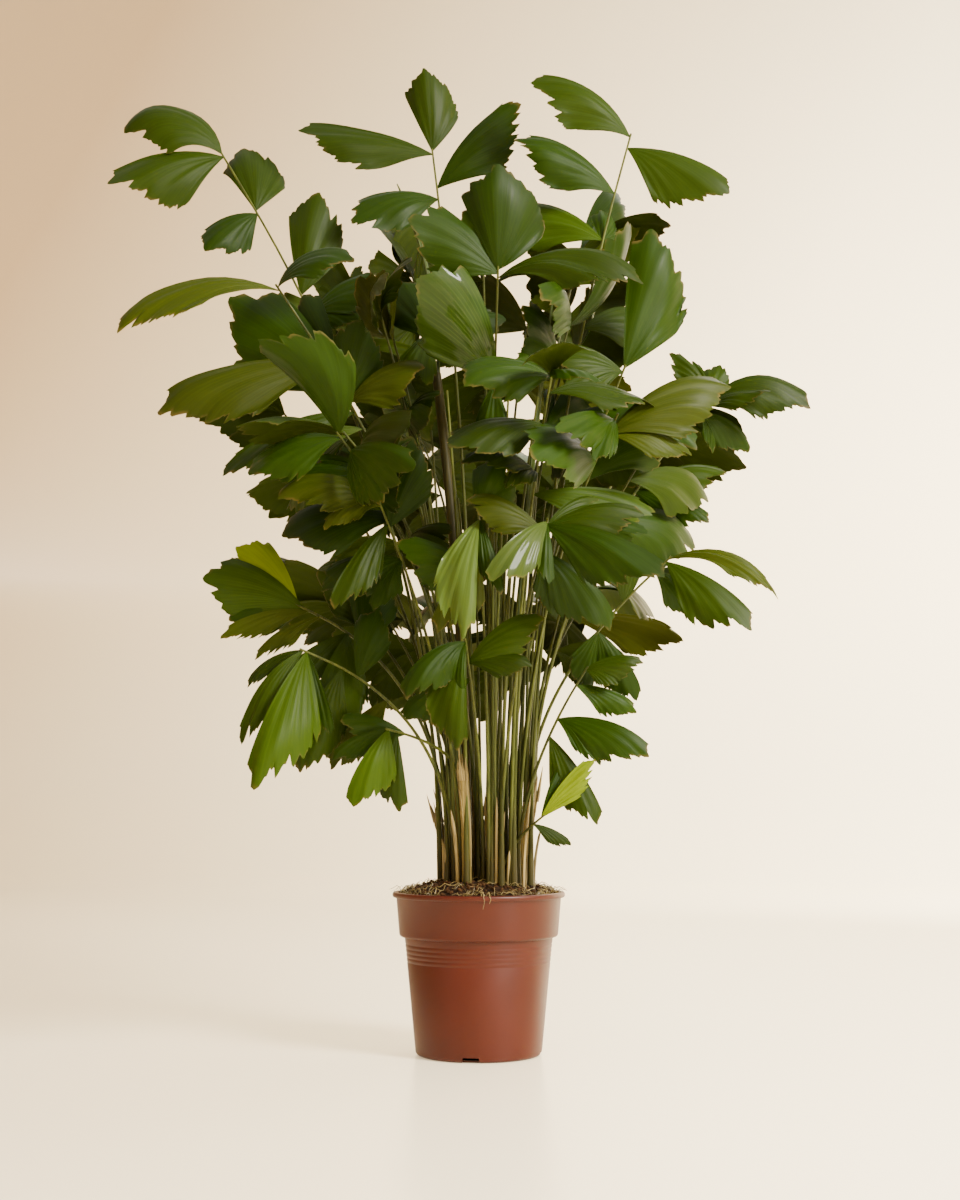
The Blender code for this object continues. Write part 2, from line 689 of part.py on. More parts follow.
def grow_canes(spots, space):
    """Canes round the clump's middle, and the seats that their flat tops give to stalks."""
    canes = []
    seats = []
    for count in range(CANE_COUNT):
        reach = CLUMP_RADIUS * CANE_CIRCLE * math.sqrt((count + 0.6) / CANE_COUNT)
        wish = CLUMP_CENTRE + unit(CANE_TURN * count) * reach
        foot = min(spots, key=lambda spot: (spot - wish).length)
        spots.remove(foot)
        outward = foot - CLUMP_CENTRE
        height = CANE_LOW + (CANE_HIGH - CANE_LOW) * ((count * 7) % CANE_COUNT) / CANE_COUNT
        top = foot + outward * CANE_LEAN
        top.z = height
        solid = cane_solid(foot, top, CANE_RADIUS)
        space.add("cane", cane_solid(foot, top, CANE_RADIUS, CLEARANCE))
        canes.append(("cane_%d" % (count + 1), solid))
        lean = math.degrees(math.atan2(outward.y, outward.x))
        seats += seats_on(top, lean, SEATS_ON_A_CANE)
    return canes, seats


def seats_on(top, lean, count):
    return [top + Vector((0.0, 0.0, GAP)) + unit(lean + 360 * place / count) * SEAT_OFFSET
            for place in range(count)]


def foot_wish(tip):
    """Where a stalk would like to stand: towards the side that it leans to."""
    lean = Vector((tip.x - CLUMP_CENTRE.x, tip.y - CLUMP_CENTRE.y, 0.0)) / LEAN_SPREAD
    return CLUMP_CENTRE + lean * (CLUMP_RADIUS / math.sqrt(1 + lean.length_squared))


def stand(frond, radius, seats, space):
    """The path of a stalk from the nearest free seat on which it keeps clear of all others."""
    tip = Vector(frond.tip)
    wish = foot_wish(tip)
    nearest = sorted(seats, key=lambda seat: ((seat - wish).xy.length, seat.z))
    for seat in nearest[:SEATS_TRIED]:
        for bend in STALK_BENDS:
            path = stalk_path(seat, tip, STALK_PARTS, bend, frond.sag)
            if space.clear(stalk_solid(path, radius, CLEARANCE)):
                seats.remove(seat)
                return path
    raise RuntimeError(frond.name + " finds no free foot")


def place_leaflets(frond, path, space):
    """The frond's leaflets that keep clear of everything placed before them."""
    blades = []
    neck_distance = 0.0
    for leaflet in frond.leaflets:
        neck_distance = max(leaflet.below + FIRST_NECK, neck_distance + NECK_STEP)
        neck, rib, share = along_rib(path, neck_distance)
        for change in TRIES:
            if isinstance(leaflet, SideLeaflet):
                blade = whorl_blade(leaflet, neck, rib, stalk_radius(share), change)
            else:
                blade = front_blade(leaflet, neck, stalk_radius(share), change)
            whole = blade_solid(blade, CLEARANCE)
            free = blade_solid(blade, CLEARANCE, 1)
            if in_crown(whole[0]) and space.clear(whole, frond.name, free):
                space.add(frond.name, whole, free)
                blades.append(blade)
                break
    return blades


def in_crown(points):
    """Whether points stay over the pot's rim and within the crown's reach."""
    return all(point.z > CROWN_FOOT and point.xy.length < CROWN_REACH for point in points)


class SideLeaflet(NamedTuple):
    """A leaflet that grows by rule, with its directions about the rib and its angles in degrees."""
    below: float
    side: int           # 1 and -1 for the rib's two sides, 0 on from its tip
    outward: Vector
    length: float
    spread: float
    angle: float        # away from the rib
    lift: float         # how far it points below that
    tilt: float         # 0 lies level, 90 faces outward
    droop: float


def whorl_blade(leaflet, neck, rib, neck_radius, change):
    """A side leaflet leaves the rib at an angle and faces up and outward."""
    sideways = leaflet.outward.cross(Vector((0.0, 0.0, 1.0))) * leaflet.side
    angle = math.radians(leaflet.angle + change[0])
    lift = math.radians(leaflet.lift + change[1])
    along = (rib * math.cos(angle) + sideways * math.sin(angle)).normalized()
    along = (along - Vector((0.0, 0.0, math.sin(lift)))).normalized()
    tilt = math.radians(leaflet.tilt + change[2])
    upper = Vector((0.0, 0.0, math.cos(tilt))) + leaflet.outward * math.sin(tilt)
    normal = (upper - along * upper.dot(along)).normalized()
    return Blade(neck, along, normal, leaflet.length, math.radians(leaflet.spread),
                 math.radians(leaflet.droop), neck_radius)


def whorl_leaflets(outward, rib_length, chance):
    """A leaflet on from the tip, then pairs down the rib, each a little different from the last."""
    leaflets = []
    for pair in range(int(rib_length / PAIR_STEP)):
        for side in (0, 1, -1) if pair == 0 else (1, -1):
            below = (pair + (PAIR_OFFSET if side < 0 else 0.0)) * PAIR_STEP
            size = chance.uniform(*SIDE_LENGTHS) * (1 - PAIR_SHRINK * pair)
            angle = chance.uniform(*SIDE_ANGLES) if side else TIP_ANGLE
            leaflets.append(SideLeaflet(below, side, outward, size, chance.uniform(*SIDE_SPREADS), angle,
                                        chance.uniform(*SIDE_LIFTS), chance.uniform(*SIDE_TILTS),
                                        chance.uniform(*SIDE_DROOPS)))
    return tuple(leaflets)


def whorl_fronds():
    """Fronds of the sides and the back, worked out from the whorls' heights and reaches."""
    chance = random.Random(WHORL_SEED)
    fronds = []
    for name, count, height, reach, first, last, rib_length in WHORLS:
        for place in range(count):
            azimuth = first + (last - first) * (place + 0.5) / count + chance.uniform(*AZIMUTH_PLAY)
            outward = unit(azimuth)
            tip = outward * reach * chance.uniform(*REACH_PLAY)
            tip.z = height + chance.uniform(*HEIGHT_PLAY)
            leaflets = whorl_leaflets(outward, rib_length, chance)
            fronds.append(Frond("%s_%d" % (name, place + 1), tuple(tip), leaflets, chance.uniform(*SAG_PLAY)))
    return fronds


def main():
    for old in list(bpy.data.objects):
        bpy.data.objects.remove(old, do_unlink=True)
    terracotta = material("pot_plastic", (0.235, 0.060, 0.028), 0.5)
    earth = material("potting_soil", (0.045, 0.026, 0.016), 0.95)
    fibre = material("cane_fibre", (0.33, 0.22, 0.11), 0.85)
    stem_green = material("culm_green", (0.12, 0.12, 0.04), 0.6)
    leaf_green = material("frond_green", (0.035, 0.085, 0.015), 0.4)
    build_pot(terracotta)
    build_soil(earth)

    space = Space()
    space.add("soil", turned([(0.0, FLOOR), (LIP_RADIUS, FLOOR), (LIP_RADIUS, SOIL_TOP), (0.0, SOIL_TOP)],
                             POT_SIDES))
    spots = grid_spots()
    culm_spot = min(spots, key=lambda spot: (spot - CULM_FOOT).length)
    spots.remove(culm_spot)
    culm = cane_solid(culm_spot, CULM_TOP, CULM_RADIUS)
    space.add("culm", cane_solid(culm_spot, CULM_TOP, CULM_RADIUS, CLEARANCE))
    canes, cane_seats = grow_canes(spots, space)
    shade(new_object("culm", *culm, stem_green))
    for name, solid in canes:
        shade(new_object(name, *solid, fibre))

    seats = {"": spots + cane_seats, "culm": seats_on(CULM_TOP, CULM_SEATS_TURN, SEATS_ON_THE_CULM)}
    fronds = list(FRONT_FRONDS) + whorl_fronds()
    paths = {}
    for frond in list(SPEARS) + fronds:
        radius = spear_radius if frond in SPEARS else stalk_radius
        paths[frond.name] = stand(frond, radius, seats[frond.carrier], space)
        space.add(frond.name, stalk_solid(paths[frond.name], radius, CLEARANCE / 2))
    for spear in SPEARS:
        join_frond(spear, stalk_solid(paths[spear.name], spear_radius), [], leaf_green)
    for frond in fronds:
        blades = place_leaflets(frond, paths[frond.name], space)
        solids = [blade_solid(blade) for blade in blades]
        join_frond(frond, stalk_solid(paths[frond.name], stalk_radius), solids, leaf_green)


main()
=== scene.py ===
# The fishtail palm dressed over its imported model: fine leaflets, stalks, canes, nursery pot and soil,
# on a pale studio floor. The crown grows by the same rule and from the same sizes as the solids.

import math
import random
from typing import NamedTuple

import bpy
import numpy
from mathutils import Matrix, Vector, noise
from mathutils.bvhtree import BVHTree


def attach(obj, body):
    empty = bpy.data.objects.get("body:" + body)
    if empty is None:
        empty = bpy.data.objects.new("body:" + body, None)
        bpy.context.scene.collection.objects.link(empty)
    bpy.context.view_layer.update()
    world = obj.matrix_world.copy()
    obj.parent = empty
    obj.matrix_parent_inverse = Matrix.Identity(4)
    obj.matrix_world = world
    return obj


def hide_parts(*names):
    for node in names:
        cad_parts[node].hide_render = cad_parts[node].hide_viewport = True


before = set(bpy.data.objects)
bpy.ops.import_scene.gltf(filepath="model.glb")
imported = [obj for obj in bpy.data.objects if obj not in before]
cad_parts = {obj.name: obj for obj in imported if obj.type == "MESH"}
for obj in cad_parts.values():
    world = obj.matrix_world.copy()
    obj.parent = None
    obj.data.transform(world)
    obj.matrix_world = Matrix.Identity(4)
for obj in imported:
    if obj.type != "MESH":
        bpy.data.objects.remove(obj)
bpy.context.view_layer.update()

# Pot: a tapered wall under a taller collar, with a lip round the mouth
POT_HEIGHT = 0.250
POT_SIDES = 32
WALL = 0.0026
FLOOR = 0.003
BASE_RADIUS = 0.0925
BASE_CORNER = 0.0065
STEP_HEIGHT = 0.181
STEP_RADIUS = 0.1165
COLLAR_FOOT_RADIUS = 0.1250
COLLAR_TOP_RADIUS = 0.1300
LIP_RADIUS = 0.1360
LIP_DEPTH = 0.008
ROUNDING = 0.001
COLLAR_CORNER = 0.005
NOTCHES = 4
NOTCH_WIDTH = 0.032
NOTCH_HEIGHT = 0.008
NOTCH_DEPTH = 0.004
NOTCH_SLANT = 0.004
NOTCH_TURN = math.radians(-97)

# Soil: it fills the pot and mounds over the rim, with a level top that the stems stand on
SOIL_TOP = 0.262
SOIL_EDGE_HEIGHT = 0.243
GAP = 0.0003

# Stems: the clump's feet stand on a grid of spots, a little right of the pot's axis
CLUMP_CENTRE = Vector((0.016, 0.0, SOIL_TOP + GAP))
CLUMP_RADIUS = 0.086
SPOT_STEP = 0.0170
CANE_COUNT = 10
CANE_TURN = 137.5
CANE_CIRCLE = 0.82
CANE_RADIUS = 0.0074
CANE_SIDES = 6
CANE_PARTS = 3
CANE_SWELL = 0.05
CANE_LEAN = 0.22
CANE_LOW = 0.33
CANE_HIGH = 0.45
SEATS_ON_A_CANE = 3
SEAT_OFFSET = 0.0046
CULM_RADIUS = 0.0078
CULM_FOOT = Vector((-0.018, 0.006, SOIL_TOP + GAP))
CULM_TOP = Vector((-0.070, 0.010, 1.090))
SEATS_ON_THE_CULM = 2
CULM_SEATS_TURN = 150

# Stalks: a petiole that runs on into the rib of its frond
STALK_SIDES = 5
STALK_PARTS = 7
STALK_TIP_RADIUS = 0.0017
STALK_FOOT_RADIUS = 0.0032
STALK_BENDS = (2.0, 1.7, 2.4)
SEATS_TRIED = 24
LEAN_SPREAD = 0.30
SPEAR_FOLD = 0.62
SPEAR_RADIUS = 0.0056
SPEAR_POINT_RADIUS = 0.0009

# Leaflets: wedges that open from a narrow neck to a ragged outer edge
THICKNESS_SHARE = 1 / 52
NECK_SHARE = 0.55
NECK_LEAST = 0.0008
FIRST_NECK = 0.005
NECK_STEP = 0.006
WIDE = math.radians(38)
BROAD = math.radians(55)
LONG_BEND = 0.27
BELLY = 0.22
SHORT_EDGE = 0.42
RAGGED = 0.07
CROSS_ARCH = 0.45
ARCH_RUN = 0.3
DOWNWARD_PULL = 1.5
FAN_SPREAD = math.radians(50)
FAN_PEAK = 0.35
WEDGE_PEAK = 0.7
LOW_SIDE = -0.2
CLEARANCE = 0.0011
CROWN_FOOT = 0.29
CROWN_REACH = 0.70
TRIES = ((0, 0, 0), (0, 9, 8), (0, -9, -8), (6, 14, 0), (-6, -14, 0), (0, 20, 15), (0, -20, -15),
         (10, 0, 25), (-10, 0, -25), (12, 26, 12), (-12, -26, -12), (0, 34, 0), (0, -34, 0))


class Leaflet(NamedTuple):
    """One leaflet as the front view shows it: lengths in metres, angles in degrees."""
    below: float        # down the rib from the frond's tip to the leaflet's neck
    clock: float        # where it points, seen from the front: 0 right, 90 up, 180 left
    length: float
    spread: float       # how wide the wedge opens
    facing: float       # 0 lies level, 90 stands facing the front
    toward: float = 0   # how far it points out of the front plane, towards the front
    droop: float = 50   # how far it bends over from neck to tip


class Frond(NamedTuple):
    name: str
    tip: tuple
    finishes: str = ""  # a letter for each leaflet in turn, or none where they are drawn
    leaflets: tuple = ()
    sag: float = 0      # 0 rises evenly, 1 ends level
    carrier: str = ""


def leaflet_list(*rows):
    return tuple(Leaflet(*row) for row in rows)


FRONT_FRONDS = (
    Frond("frond_upper_left", (-0.44, 0.06, 1.49), "mmmdmd", leaflet_list(
        (0.00, 170, 0.205, 54, 56, 5, 120), (0.00, -160, 0.210, 50, 72, 15, 45),
        (0.12, 103, 0.150, 66, 77, -12, 35), (0.12, -138, 0.120, 66, 78, 15, 40),
        (0.29, 82, 0.195, 52, 82, -8, 30), (0.33, 20, 0.150, 52, 60, 10, 60))),
    Frond("frond_high_left", (-0.32, -0.12, 1.20), "dooddomp", leaflet_list(
        (0.00, 16, 0.150, 52, 45, 10, 100), (0.00, -161, 0.285, 24, 45, 10, 75),
        (0.15, -161, 0.295, 36, 62, 8, 60), (0.20, 139, 0.265, 52, 84, -8, 25),
        (0.19, 80, 0.130, 66, 82, 12, 35), (0.19, 20, 0.145, 50, 66, 20, 60),
        (0.23, -150, 0.245, 32, 66, 12, 50), (0.26, -170, 0.110, 32, 60, -10, 45))),
    Frond("frond_top", (-0.08, 0.07, 1.50), "mmdd", leaflet_list(
        (0.00, 96, 0.145, 60, 87, 5, 15), (0.00, 172, 0.235, 36, 68, 5, 30),
        (0.07, 44, 0.210, 42, 70, 5, 40), (0.09, -156, 0.175, 52, 66, 20, 55))),
    Frond("frond_centre_fan", (0.03, -0.18, 1.21), "ddmmgd", leaflet_list(
        (0.00, 90, 0.165, 80, 86, 12, 35), (0.00, 152, 0.165, 62, 82, 15, 35),
        (0.00, -6, 0.250, 32, 50, 10, 85), (0.02, 22, 0.150, 26, 45, -15, 55),
        (0.17, 131, 0.215, 60, 84, 20, 40), (0.15, -80, 0.120, 48, 82, 10, 30))),
    Frond("frond_upper_right", (0.25, -0.04, 1.48), "mmdfdmd", leaflet_list(
        (0.00, 152, 0.200, 42, 64, 5, 65), (0.02, -28, 0.190, 50, 72, 5, 40),
        (0.10, 154, 0.195, 42, 64, 8, 55), (0.18, 156, 0.200, 44, 60, -18, 50),
        (0.18, 88, 0.080, 52, 70, -25, 40), (0.33, 10, 0.150, 54, 70, -25, 50),
        (0.48, -17, 0.240, 46, 58, 8, 75))),
    Frond("frond_right_fan", (0.23, -0.12, 1.07), "dmmd", leaflet_list(
        (0.00, 78, 0.235, 50, 87, 0, 25), (0.00, 172, 0.130, 52, 60, 10, 55),
        (0.11, -50, 0.120, 74, 82, 5, 30), (0.12, 150, 0.140, 56, 68, -25, 45))),
    Frond("frond_right_arm", (0.39, 0.05, 1.06), "mmmmdmdd", leaflet_list(
        (0.00, 131, 0.108, 40, 68, 0, 50), (0.00, 70, 0.080, 66, 77, -15, 40),
        (0.00, -4, 0.200, 42, 62, 5, 110), (0.02, 6, 0.125, 36, 45, 30, 50),
        (0.03, -35, 0.120, 44, 70, -20, 60), (0.20, 10, 0.160, 34, 58, 0, 60),
        (0.20, -27, 0.140, 44, 68, 18, 45), (0.24, -60, 0.130, 48, 76, -10, 40))),
    Frond("frond_right_mid", (0.30, -0.10, 0.77), "omdmd", leaflet_list(
        (0.00, -22, 0.205, 20, 48, 5, 95), (0.00, -42, 0.180, 44, 70, 15, 45),
        (0.03, -40, 0.110, 52, 74, -20, 40), (0.10, 100, 0.120, 52, 70, 15, 45),
        (0.16, -60, 0.130, 48, 77, -15, 40))),
    Frond("frond_centre_right", (0.10, -0.28, 0.80), "pdmod", leaflet_list(
        (0.00, -131, 0.145, 42, 78, 25, 50), (0.00, -28, 0.205, 42, 73, 20, 45),
        (0.00, 8, 0.155, 40, 54, 0, 60), (0.02, 158, 0.130, 44, 54, 5, 60),
        (0.05, -48, 0.165, 46, 70, -10, 50))),
    Frond("frond_centre_left", (0.00, -0.27, 0.81), "dpod", leaflet_list(
        (0.00, 80, 0.100, 80, 84, 15, 40), (0.00, -97, 0.200, 34, 84, 20, 40),
        (0.06, -118, 0.140, 44, 77, -5, 40), (0.10, 160, 0.140, 50, 67, 0, 50))),
    Frond("frond_left_mid", (-0.15, -0.18, 0.84), "odmdd", leaflet_list(
        (0.00, 178, 0.180, 40, 50, 10, 100), (0.00, 150, 0.130, 48, 64, -20, 60),
        (0.03, -119, 0.170, 32, 70, 15, 50), (0.00, 76, 0.150, 62, 84, 0, 35),
        (0.09, -160, 0.140, 52, 70, -10, 50))),
    Frond("frond_left_low", (-0.29, -0.06, 0.70), "yfoomd", leaflet_list(
        (0.00, 137, 0.145, 62, 80, -5, 30), (0.01, 165, 0.170, 60, 78, 8, 40),
        (0.02, -161, 0.150, 26, 64, 0, 50), (0.04, -144, 0.130, 24, 64, 15, 50),
        (0.09, -103, 0.215, 40, 80, 25, 45), (0.12, 85, 0.140, 60, 80, -15, 30)), sag=0.55),
    Frond("frond_left_hang", (-0.27, -0.16, 0.62), "mfmdo", leaflet_list(
        (0.00, -122, 0.180, 26, 70, 0, 70), (0.00, -108, 0.235, 38, 80, 15, 45),
        (0.07, -111, 0.180, 38, 80, 0, 50), (0.10, 75, 0.120, 52, 72, -10, 40),
        (0.16, -130, 0.150, 42, 74, -15, 50)), sag=0.55),
    Frond("frond_foot_left", (-0.14, -0.15, 0.50), "fmd", leaflet_list(
        (0.00, -114, 0.135, 48, 80, 10, 55), (0.02, -88, 0.125, 46, 82, 20, 45),
        (0.04, 170, 0.110, 46, 70, -15, 50)), sag=0.4),
    Frond("frond_centre_low", (-0.02, -0.22, 0.63), "dmmd", leaflet_list(
        (0.00, -135, 0.140, 42, 70, 10, 90), (0.00, -95, 0.165, 42, 82, 15, 50),
        (0.04, 30, 0.140, 42, 64, 5, 60), (0.07, -150, 0.130, 48, 70, -20, 50))),
    Frond("frond_right_low", (0.17, -0.08, 0.60), "mddm", leaflet_list(
        (0.00, 6, 0.095, 44, 64, 5, 60), (0.03, -24, 0.110, 42, 67, -10, 50),
        (0.09, -24, 0.165, 40, 68, 15, 60), (0.12, -62, 0.160, 38, 77, 5, 40))),
    Frond("frond_foot_right", (0.10, -0.09, 0.37), "ym", leaflet_list(
        (0.00, 47, 0.125, 30, 74, 5, 35), (0.02, -30, 0.070, 34, 70, -10, 40))),
    Frond("frond_culm", (-0.08, -0.03, 1.15), "fdd", leaflet_list(
        (0.00, -97, 0.140, 48, 84, 25, 35), (0.00, 20, 0.150, 54, 74, -25, 45),
        (0.01, 118, 0.140, 56, 74, -30, 45)), carrier="culm"),
)

SPEARS = (
    Frond("spear_left", (-0.14, 0.08, 1.44), carrier="culm"),
    Frond("spear_right", (0.12, -0.12, 1.20)),
)

# Fronds that the front hides grow by rule: (name, count, height, reach, first and last azimuth, rib length)
# Azimuth 0 is the right side, 90 the back, 180 the left side and 270 the front.
WHORLS = (
    ("frond_back_high", 5, 1.30, 0.26, 36, 148, 0.34),
    ("frond_back_mid", 6, 1.02, 0.40, 28, 156, 0.30),
    ("frond_back_low", 5, 0.72, 0.34, 44, 150, 0.24),
    ("frond_side_right", 3, 0.95, 0.28, -76, -22, 0.26),
    ("frond_side_left", 2, 0.98, 0.28, 200, 240, 0.26),
    ("frond_flank_right", 2, 1.16, 0.17, -52, 24, 0.26),
    ("frond_flank_left", 2, 1.22, 0.17, 158, 214, 0.26),
)
WHORL_SEED = 11
PAIR_STEP = 0.080
PAIR_SHRINK = 0.05
PAIR_OFFSET = 0.4
TIP_ANGLE = 12
SIDE_ANGLES = (34, 82)
SIDE_LENGTHS = (0.155, 0.235)
SIDE_SPREADS = (34, 60)
SIDE_LIFTS = (-5, 60)
SIDE_TILTS = (30, 84)
SIDE_DROOPS = (35, 95)
AZIMUTH_PLAY = (-6, 6)
REACH_PLAY = (0.85, 1.15)
HEIGHT_PLAY = (-0.08, 0.08)
SAG_PLAY = (0.0, 0.4)


def unit(azimuth):
    """Level unit vector at an azimuth in degrees."""
    turn = math.radians(azimuth)
    return Vector((math.cos(turn), math.sin(turn), 0.0))


def pot_inside():
    """The pot's inner side, from the mouth down to the middle of the floor."""
    slope = (STEP_RADIUS - BASE_RADIUS - BASE_CORNER) / STEP_HEIGHT
    return [
        (COLLAR_TOP_RADIUS - WALL, POT_HEIGHT),
        (COLLAR_FOOT_RADIUS - WALL, STEP_HEIGHT + COLLAR_CORNER + ROUNDING),
        (STEP_RADIUS - WALL, STEP_HEIGHT - WALL),
        (BASE_RADIUS + BASE_CORNER + slope * FLOOR - WALL, FLOOR),
        (0.0, FLOOR)]


# Stalks

def tube(path, radii, sides, level=False):
    """Points and faces of a closed tube along a path. Its rings lie square to the path, or level."""
    points = []
    across = Vector((1.0, 0.0, 0.0))
    for place, centre in enumerate(path):
        before = path[max(place - 1, 0)]
        after = path[min(place + 1, len(path) - 1)]
        along = Vector((0.0, 0.0, 1.0)) if level or place == 0 else (after - before).normalized()
        across = (across - along * across.dot(along)).normalized()
        other = along.cross(across)
        for side in range(sides):
            turn = 2 * math.pi * side / sides
            points.append(centre + radii[place] * (across * math.cos(turn) + other * math.sin(turn)))
    faces = [tuple(reversed(range(sides)))]
    for place in range(len(path) - 1):
        low = place * sides
        for side in range(sides):
            after = (side + 1) % sides
            faces.append((low + side, low + after, low + sides + after, low + sides + side))
    faces.append(tuple(range((len(path) - 1) * sides, len(path) * sides)))
    return points, faces


def stalk_path(foot, tip, parts, bend=STALK_BENDS[0], sag=0.0):
    """A stalk leaves its foot upright and leans over more and more. Sag makes its end more level."""
    level = Vector((tip.x - foot.x, tip.y - foot.y, 0.0))
    rise = Vector((0.0, 0.0, tip.z - foot.z))
    return [foot + level * share ** bend + rise * share * (1 + sag * (1 - share))
            for share in (step / parts for step in range(parts + 1))]


def shares(path):
    """Each point's share of the way along a path, from 0 to 1."""
    last = len(path) - 1
    return [step / last for step in range(last + 1)]


def stalk_radius(share):
    return STALK_FOOT_RADIUS + (STALK_TIP_RADIUS - STALK_FOOT_RADIUS) * share


def spear_radius(share):
    """A stalk whose last third is a folded, unopened blade that ends in a point."""
    folded = max((share - SPEAR_FOLD) / (1 - SPEAR_FOLD), 0.0)
    swell = math.sin(math.pi * folded ** 0.6) * (SPEAR_RADIUS - STALK_FOOT_RADIUS)
    return STALK_FOOT_RADIUS * (1 - folded) + SPEAR_POINT_RADIUS * folded + swell


def stalk_solid(path, radius, grow=0.0):
    return tube(path, [radius(share) + grow for share in shares(path)], STALK_SIDES)


def along_rib(path, distance):
    """Point, direction and share of the way up, a distance down the path from its tip."""
    for step in range(len(path) - 1, 0, -1):
        span = path[step] - path[step - 1]
        if distance <= span.length:
            point = path[step] - span.normalized() * distance
            share = (step - distance / span.length) / (len(path) - 1)
            return point, span.normalized(), share
        distance -= span.length
    return path[0], (path[1] - path[0]).normalized(), 0.0


# Leaflets

class Blade(NamedTuple):
    """A leaflet in space: its neck, its directions and its shape, with angles in radians."""
    neck: Vector
    along: Vector
    normal: Vector
    length: float
    spread: float
    droop: float
    neck_radius: float


def lay_blade(leaflet, neck, along, upper, neck_radius):
    """A blade that points along one way, with its face turned as near to another as it can be."""
    normal = (upper - along * upper.dot(along)).normalized()
    return Blade(neck, along, normal, leaflet.length, math.radians(leaflet.spread),
                 math.radians(leaflet.droop), neck_radius)


def front_blade(leaflet, neck, neck_radius, change):
    clock = math.radians(leaflet.clock + change[0])
    toward = math.radians(leaflet.toward + change[1])
    facing = math.radians(leaflet.facing + change[2])
    along = Vector((math.cos(clock) * math.cos(toward), -math.sin(toward), math.sin(clock) * math.cos(toward)))
    upper = Vector((0.0, -math.sin(facing), math.cos(facing)))
    return lay_blade(leaflet, neck, along, upper, neck_radius)


def blade_peak(blade):
    """Where the longest ray lies, for across from -1, the short edge, to 1, the long edge."""
    return FAN_PEAK if blade.spread > FAN_SPREAD else WEDGE_PEAK


def outline_radius(across, peak):
    """Share of the length that a ray reaches."""
    return 1 - SHORT_EDGE * (abs(across - peak) / (1 + peak)) ** 1.5


def blade_point(blade, along_share, across, raggedness):
    """A point of the blade's middle surface and the surface's normal there."""
    peak = blade_peak(blade)
    side = blade.normal.cross(blade.along)
    hand = 1.0 if side.z >= LOW_SIDE else -1.0
    reach = outline_radius(across, peak) * (1 - raggedness)
    turn = blade.spread / 2 * (across - peak) * (1 + BELLY * (1 - along_share))
    forward = along_share * reach * math.cos(turn)
    neck_width = NECK_SHARE * blade.neck_radius * across * (1 - along_share)
    sideways = hand * (along_share * reach * math.sin(turn) * blade.length + neck_width)
    upward = Vector((0.0, 0.0, 1.0)) - blade.along * blade.along.z
    bulge = (blade.normal + upward * DOWNWARD_PULL).normalized()
    slope = blade.droop * (0.5 - forward)
    level = (math.sin(blade.droop / 2) - math.sin(slope)) / blade.droop
    height = (math.cos(slope) - math.cos(blade.droop / 2)) / blade.droop
    bent = Matrix.Rotation(slope, 3, blade.along.cross(bulge))
    normal = bent @ blade.normal
    arch = CROSS_ARCH * sideways ** 2 / (ARCH_RUN * blade.length)
    point = (blade.neck + blade.length * (blade.along * level + bulge * height)
             + bent @ side * sideways - normal * arch)
    return point, normal


def blade_solid(blade, grow=0.0, first_row=0):
    """Points and faces of a leaflet: two skins that meet along its sides and its ragged outer edge."""
    rays = 2 + (blade.spread > WIDE) + (blade.spread > BROAD)
    rows = 3 if blade.length * blade.droop > LONG_BEND else 2
    thickness = blade.length * THICKNESS_SHARE + 2 * grow
    root = 2 * max(NECK_SHARE * blade.neck_radius, NECK_LEAST)
    upper = []
    lower = []
    points = []
    for row in range(first_row, rows + 1):
        upper_row = []
        lower_row = []
        for ray in range(rays + 1):
            across = 2 * ray / rays - 1
            ragged = RAGGED * ((ray + 1) % 2) * row / rows - grow / blade.length * 2
            point, normal = blade_point(blade, row / rows, across, ragged)
            upper_row.append(len(points))
            edge = ray in (0, rays) or row == rows
            if edge:
                points.append(point)
                lower_row.append(upper_row[-1])
                continue
            half = (root if row == 0 else thickness) / 2
            points.append(point + normal * half)
            lower_row.append(len(points))
            points.append(point - normal * half)
        upper.append(upper_row)
        lower.append(lower_row)
    faces = []
    flip = blade.normal.cross(blade.along).z < LOW_SIDE
    for row in range(len(upper) - 1):
        for ray in range(rays):
            top = (upper[row][ray], upper[row + 1][ray], upper[row + 1][ray + 1], upper[row][ray + 1])
            bottom = (lower[row][ray], lower[row][ray + 1], lower[row + 1][ray + 1], lower[row + 1][ray])
            faces += split_quad(top, flip) + split_quad(bottom, flip)
    cap = tuple(upper[0] + list(reversed(lower[0][1:-1])))
    faces.append(tuple(reversed(cap)) if flip else cap)
    return points, faces


def split_quad(corners, flip):
    """Two triangles for a corner list, or one where two of its corners are the same."""
    found = []
    for triple in ((corners[0], corners[1], corners[2]), (corners[0], corners[2], corners[3])):
        if len(set(triple)) == 3:
            found.append(tuple(reversed(triple)) if flip else triple)
    return found


# Keeping solids apart

class Space:
    """The solids placed so far, each with a box for a quick first test and the part free of its stalk."""

    def __init__(self):
        self.placed = []

    def add(self, owner, whole, free=None):
        whole_tree = BVHTree.FromPolygons(*whole)
        free_tree = BVHTree.FromPolygons(*free) if free else whole_tree
        self.placed.append((owner, box_of(whole[0]), whole_tree, free_tree))

    def clear(self, whole, owner="", free=None):
        """Whether a solid touches no other, and its free part nothing that its owner has placed."""
        box = box_of(whole[0])
        near = [entry for entry in self.placed if boxes_meet(box, entry[1])]
        if not near:
            return True
        whole_tree = BVHTree.FromPolygons(*whole)
        free_tree = BVHTree.FromPolygons(*free) if free else whole_tree
        for other, _, other_whole, other_free in near:
            hits = free_tree.overlap(other_free) if other == owner else whole_tree.overlap(other_whole)
            if hits:
                return False
        return True


def box_of(points):
    return ([min(point[axis] for point in points) for axis in range(3)],
            [max(point[axis] for point in points) for axis in range(3)])


def boxes_meet(one, other):
    return all(one[0][axis] <= other[1][axis] and other[0][axis] <= one[1][axis] for axis in range(3))


# Growing the plant

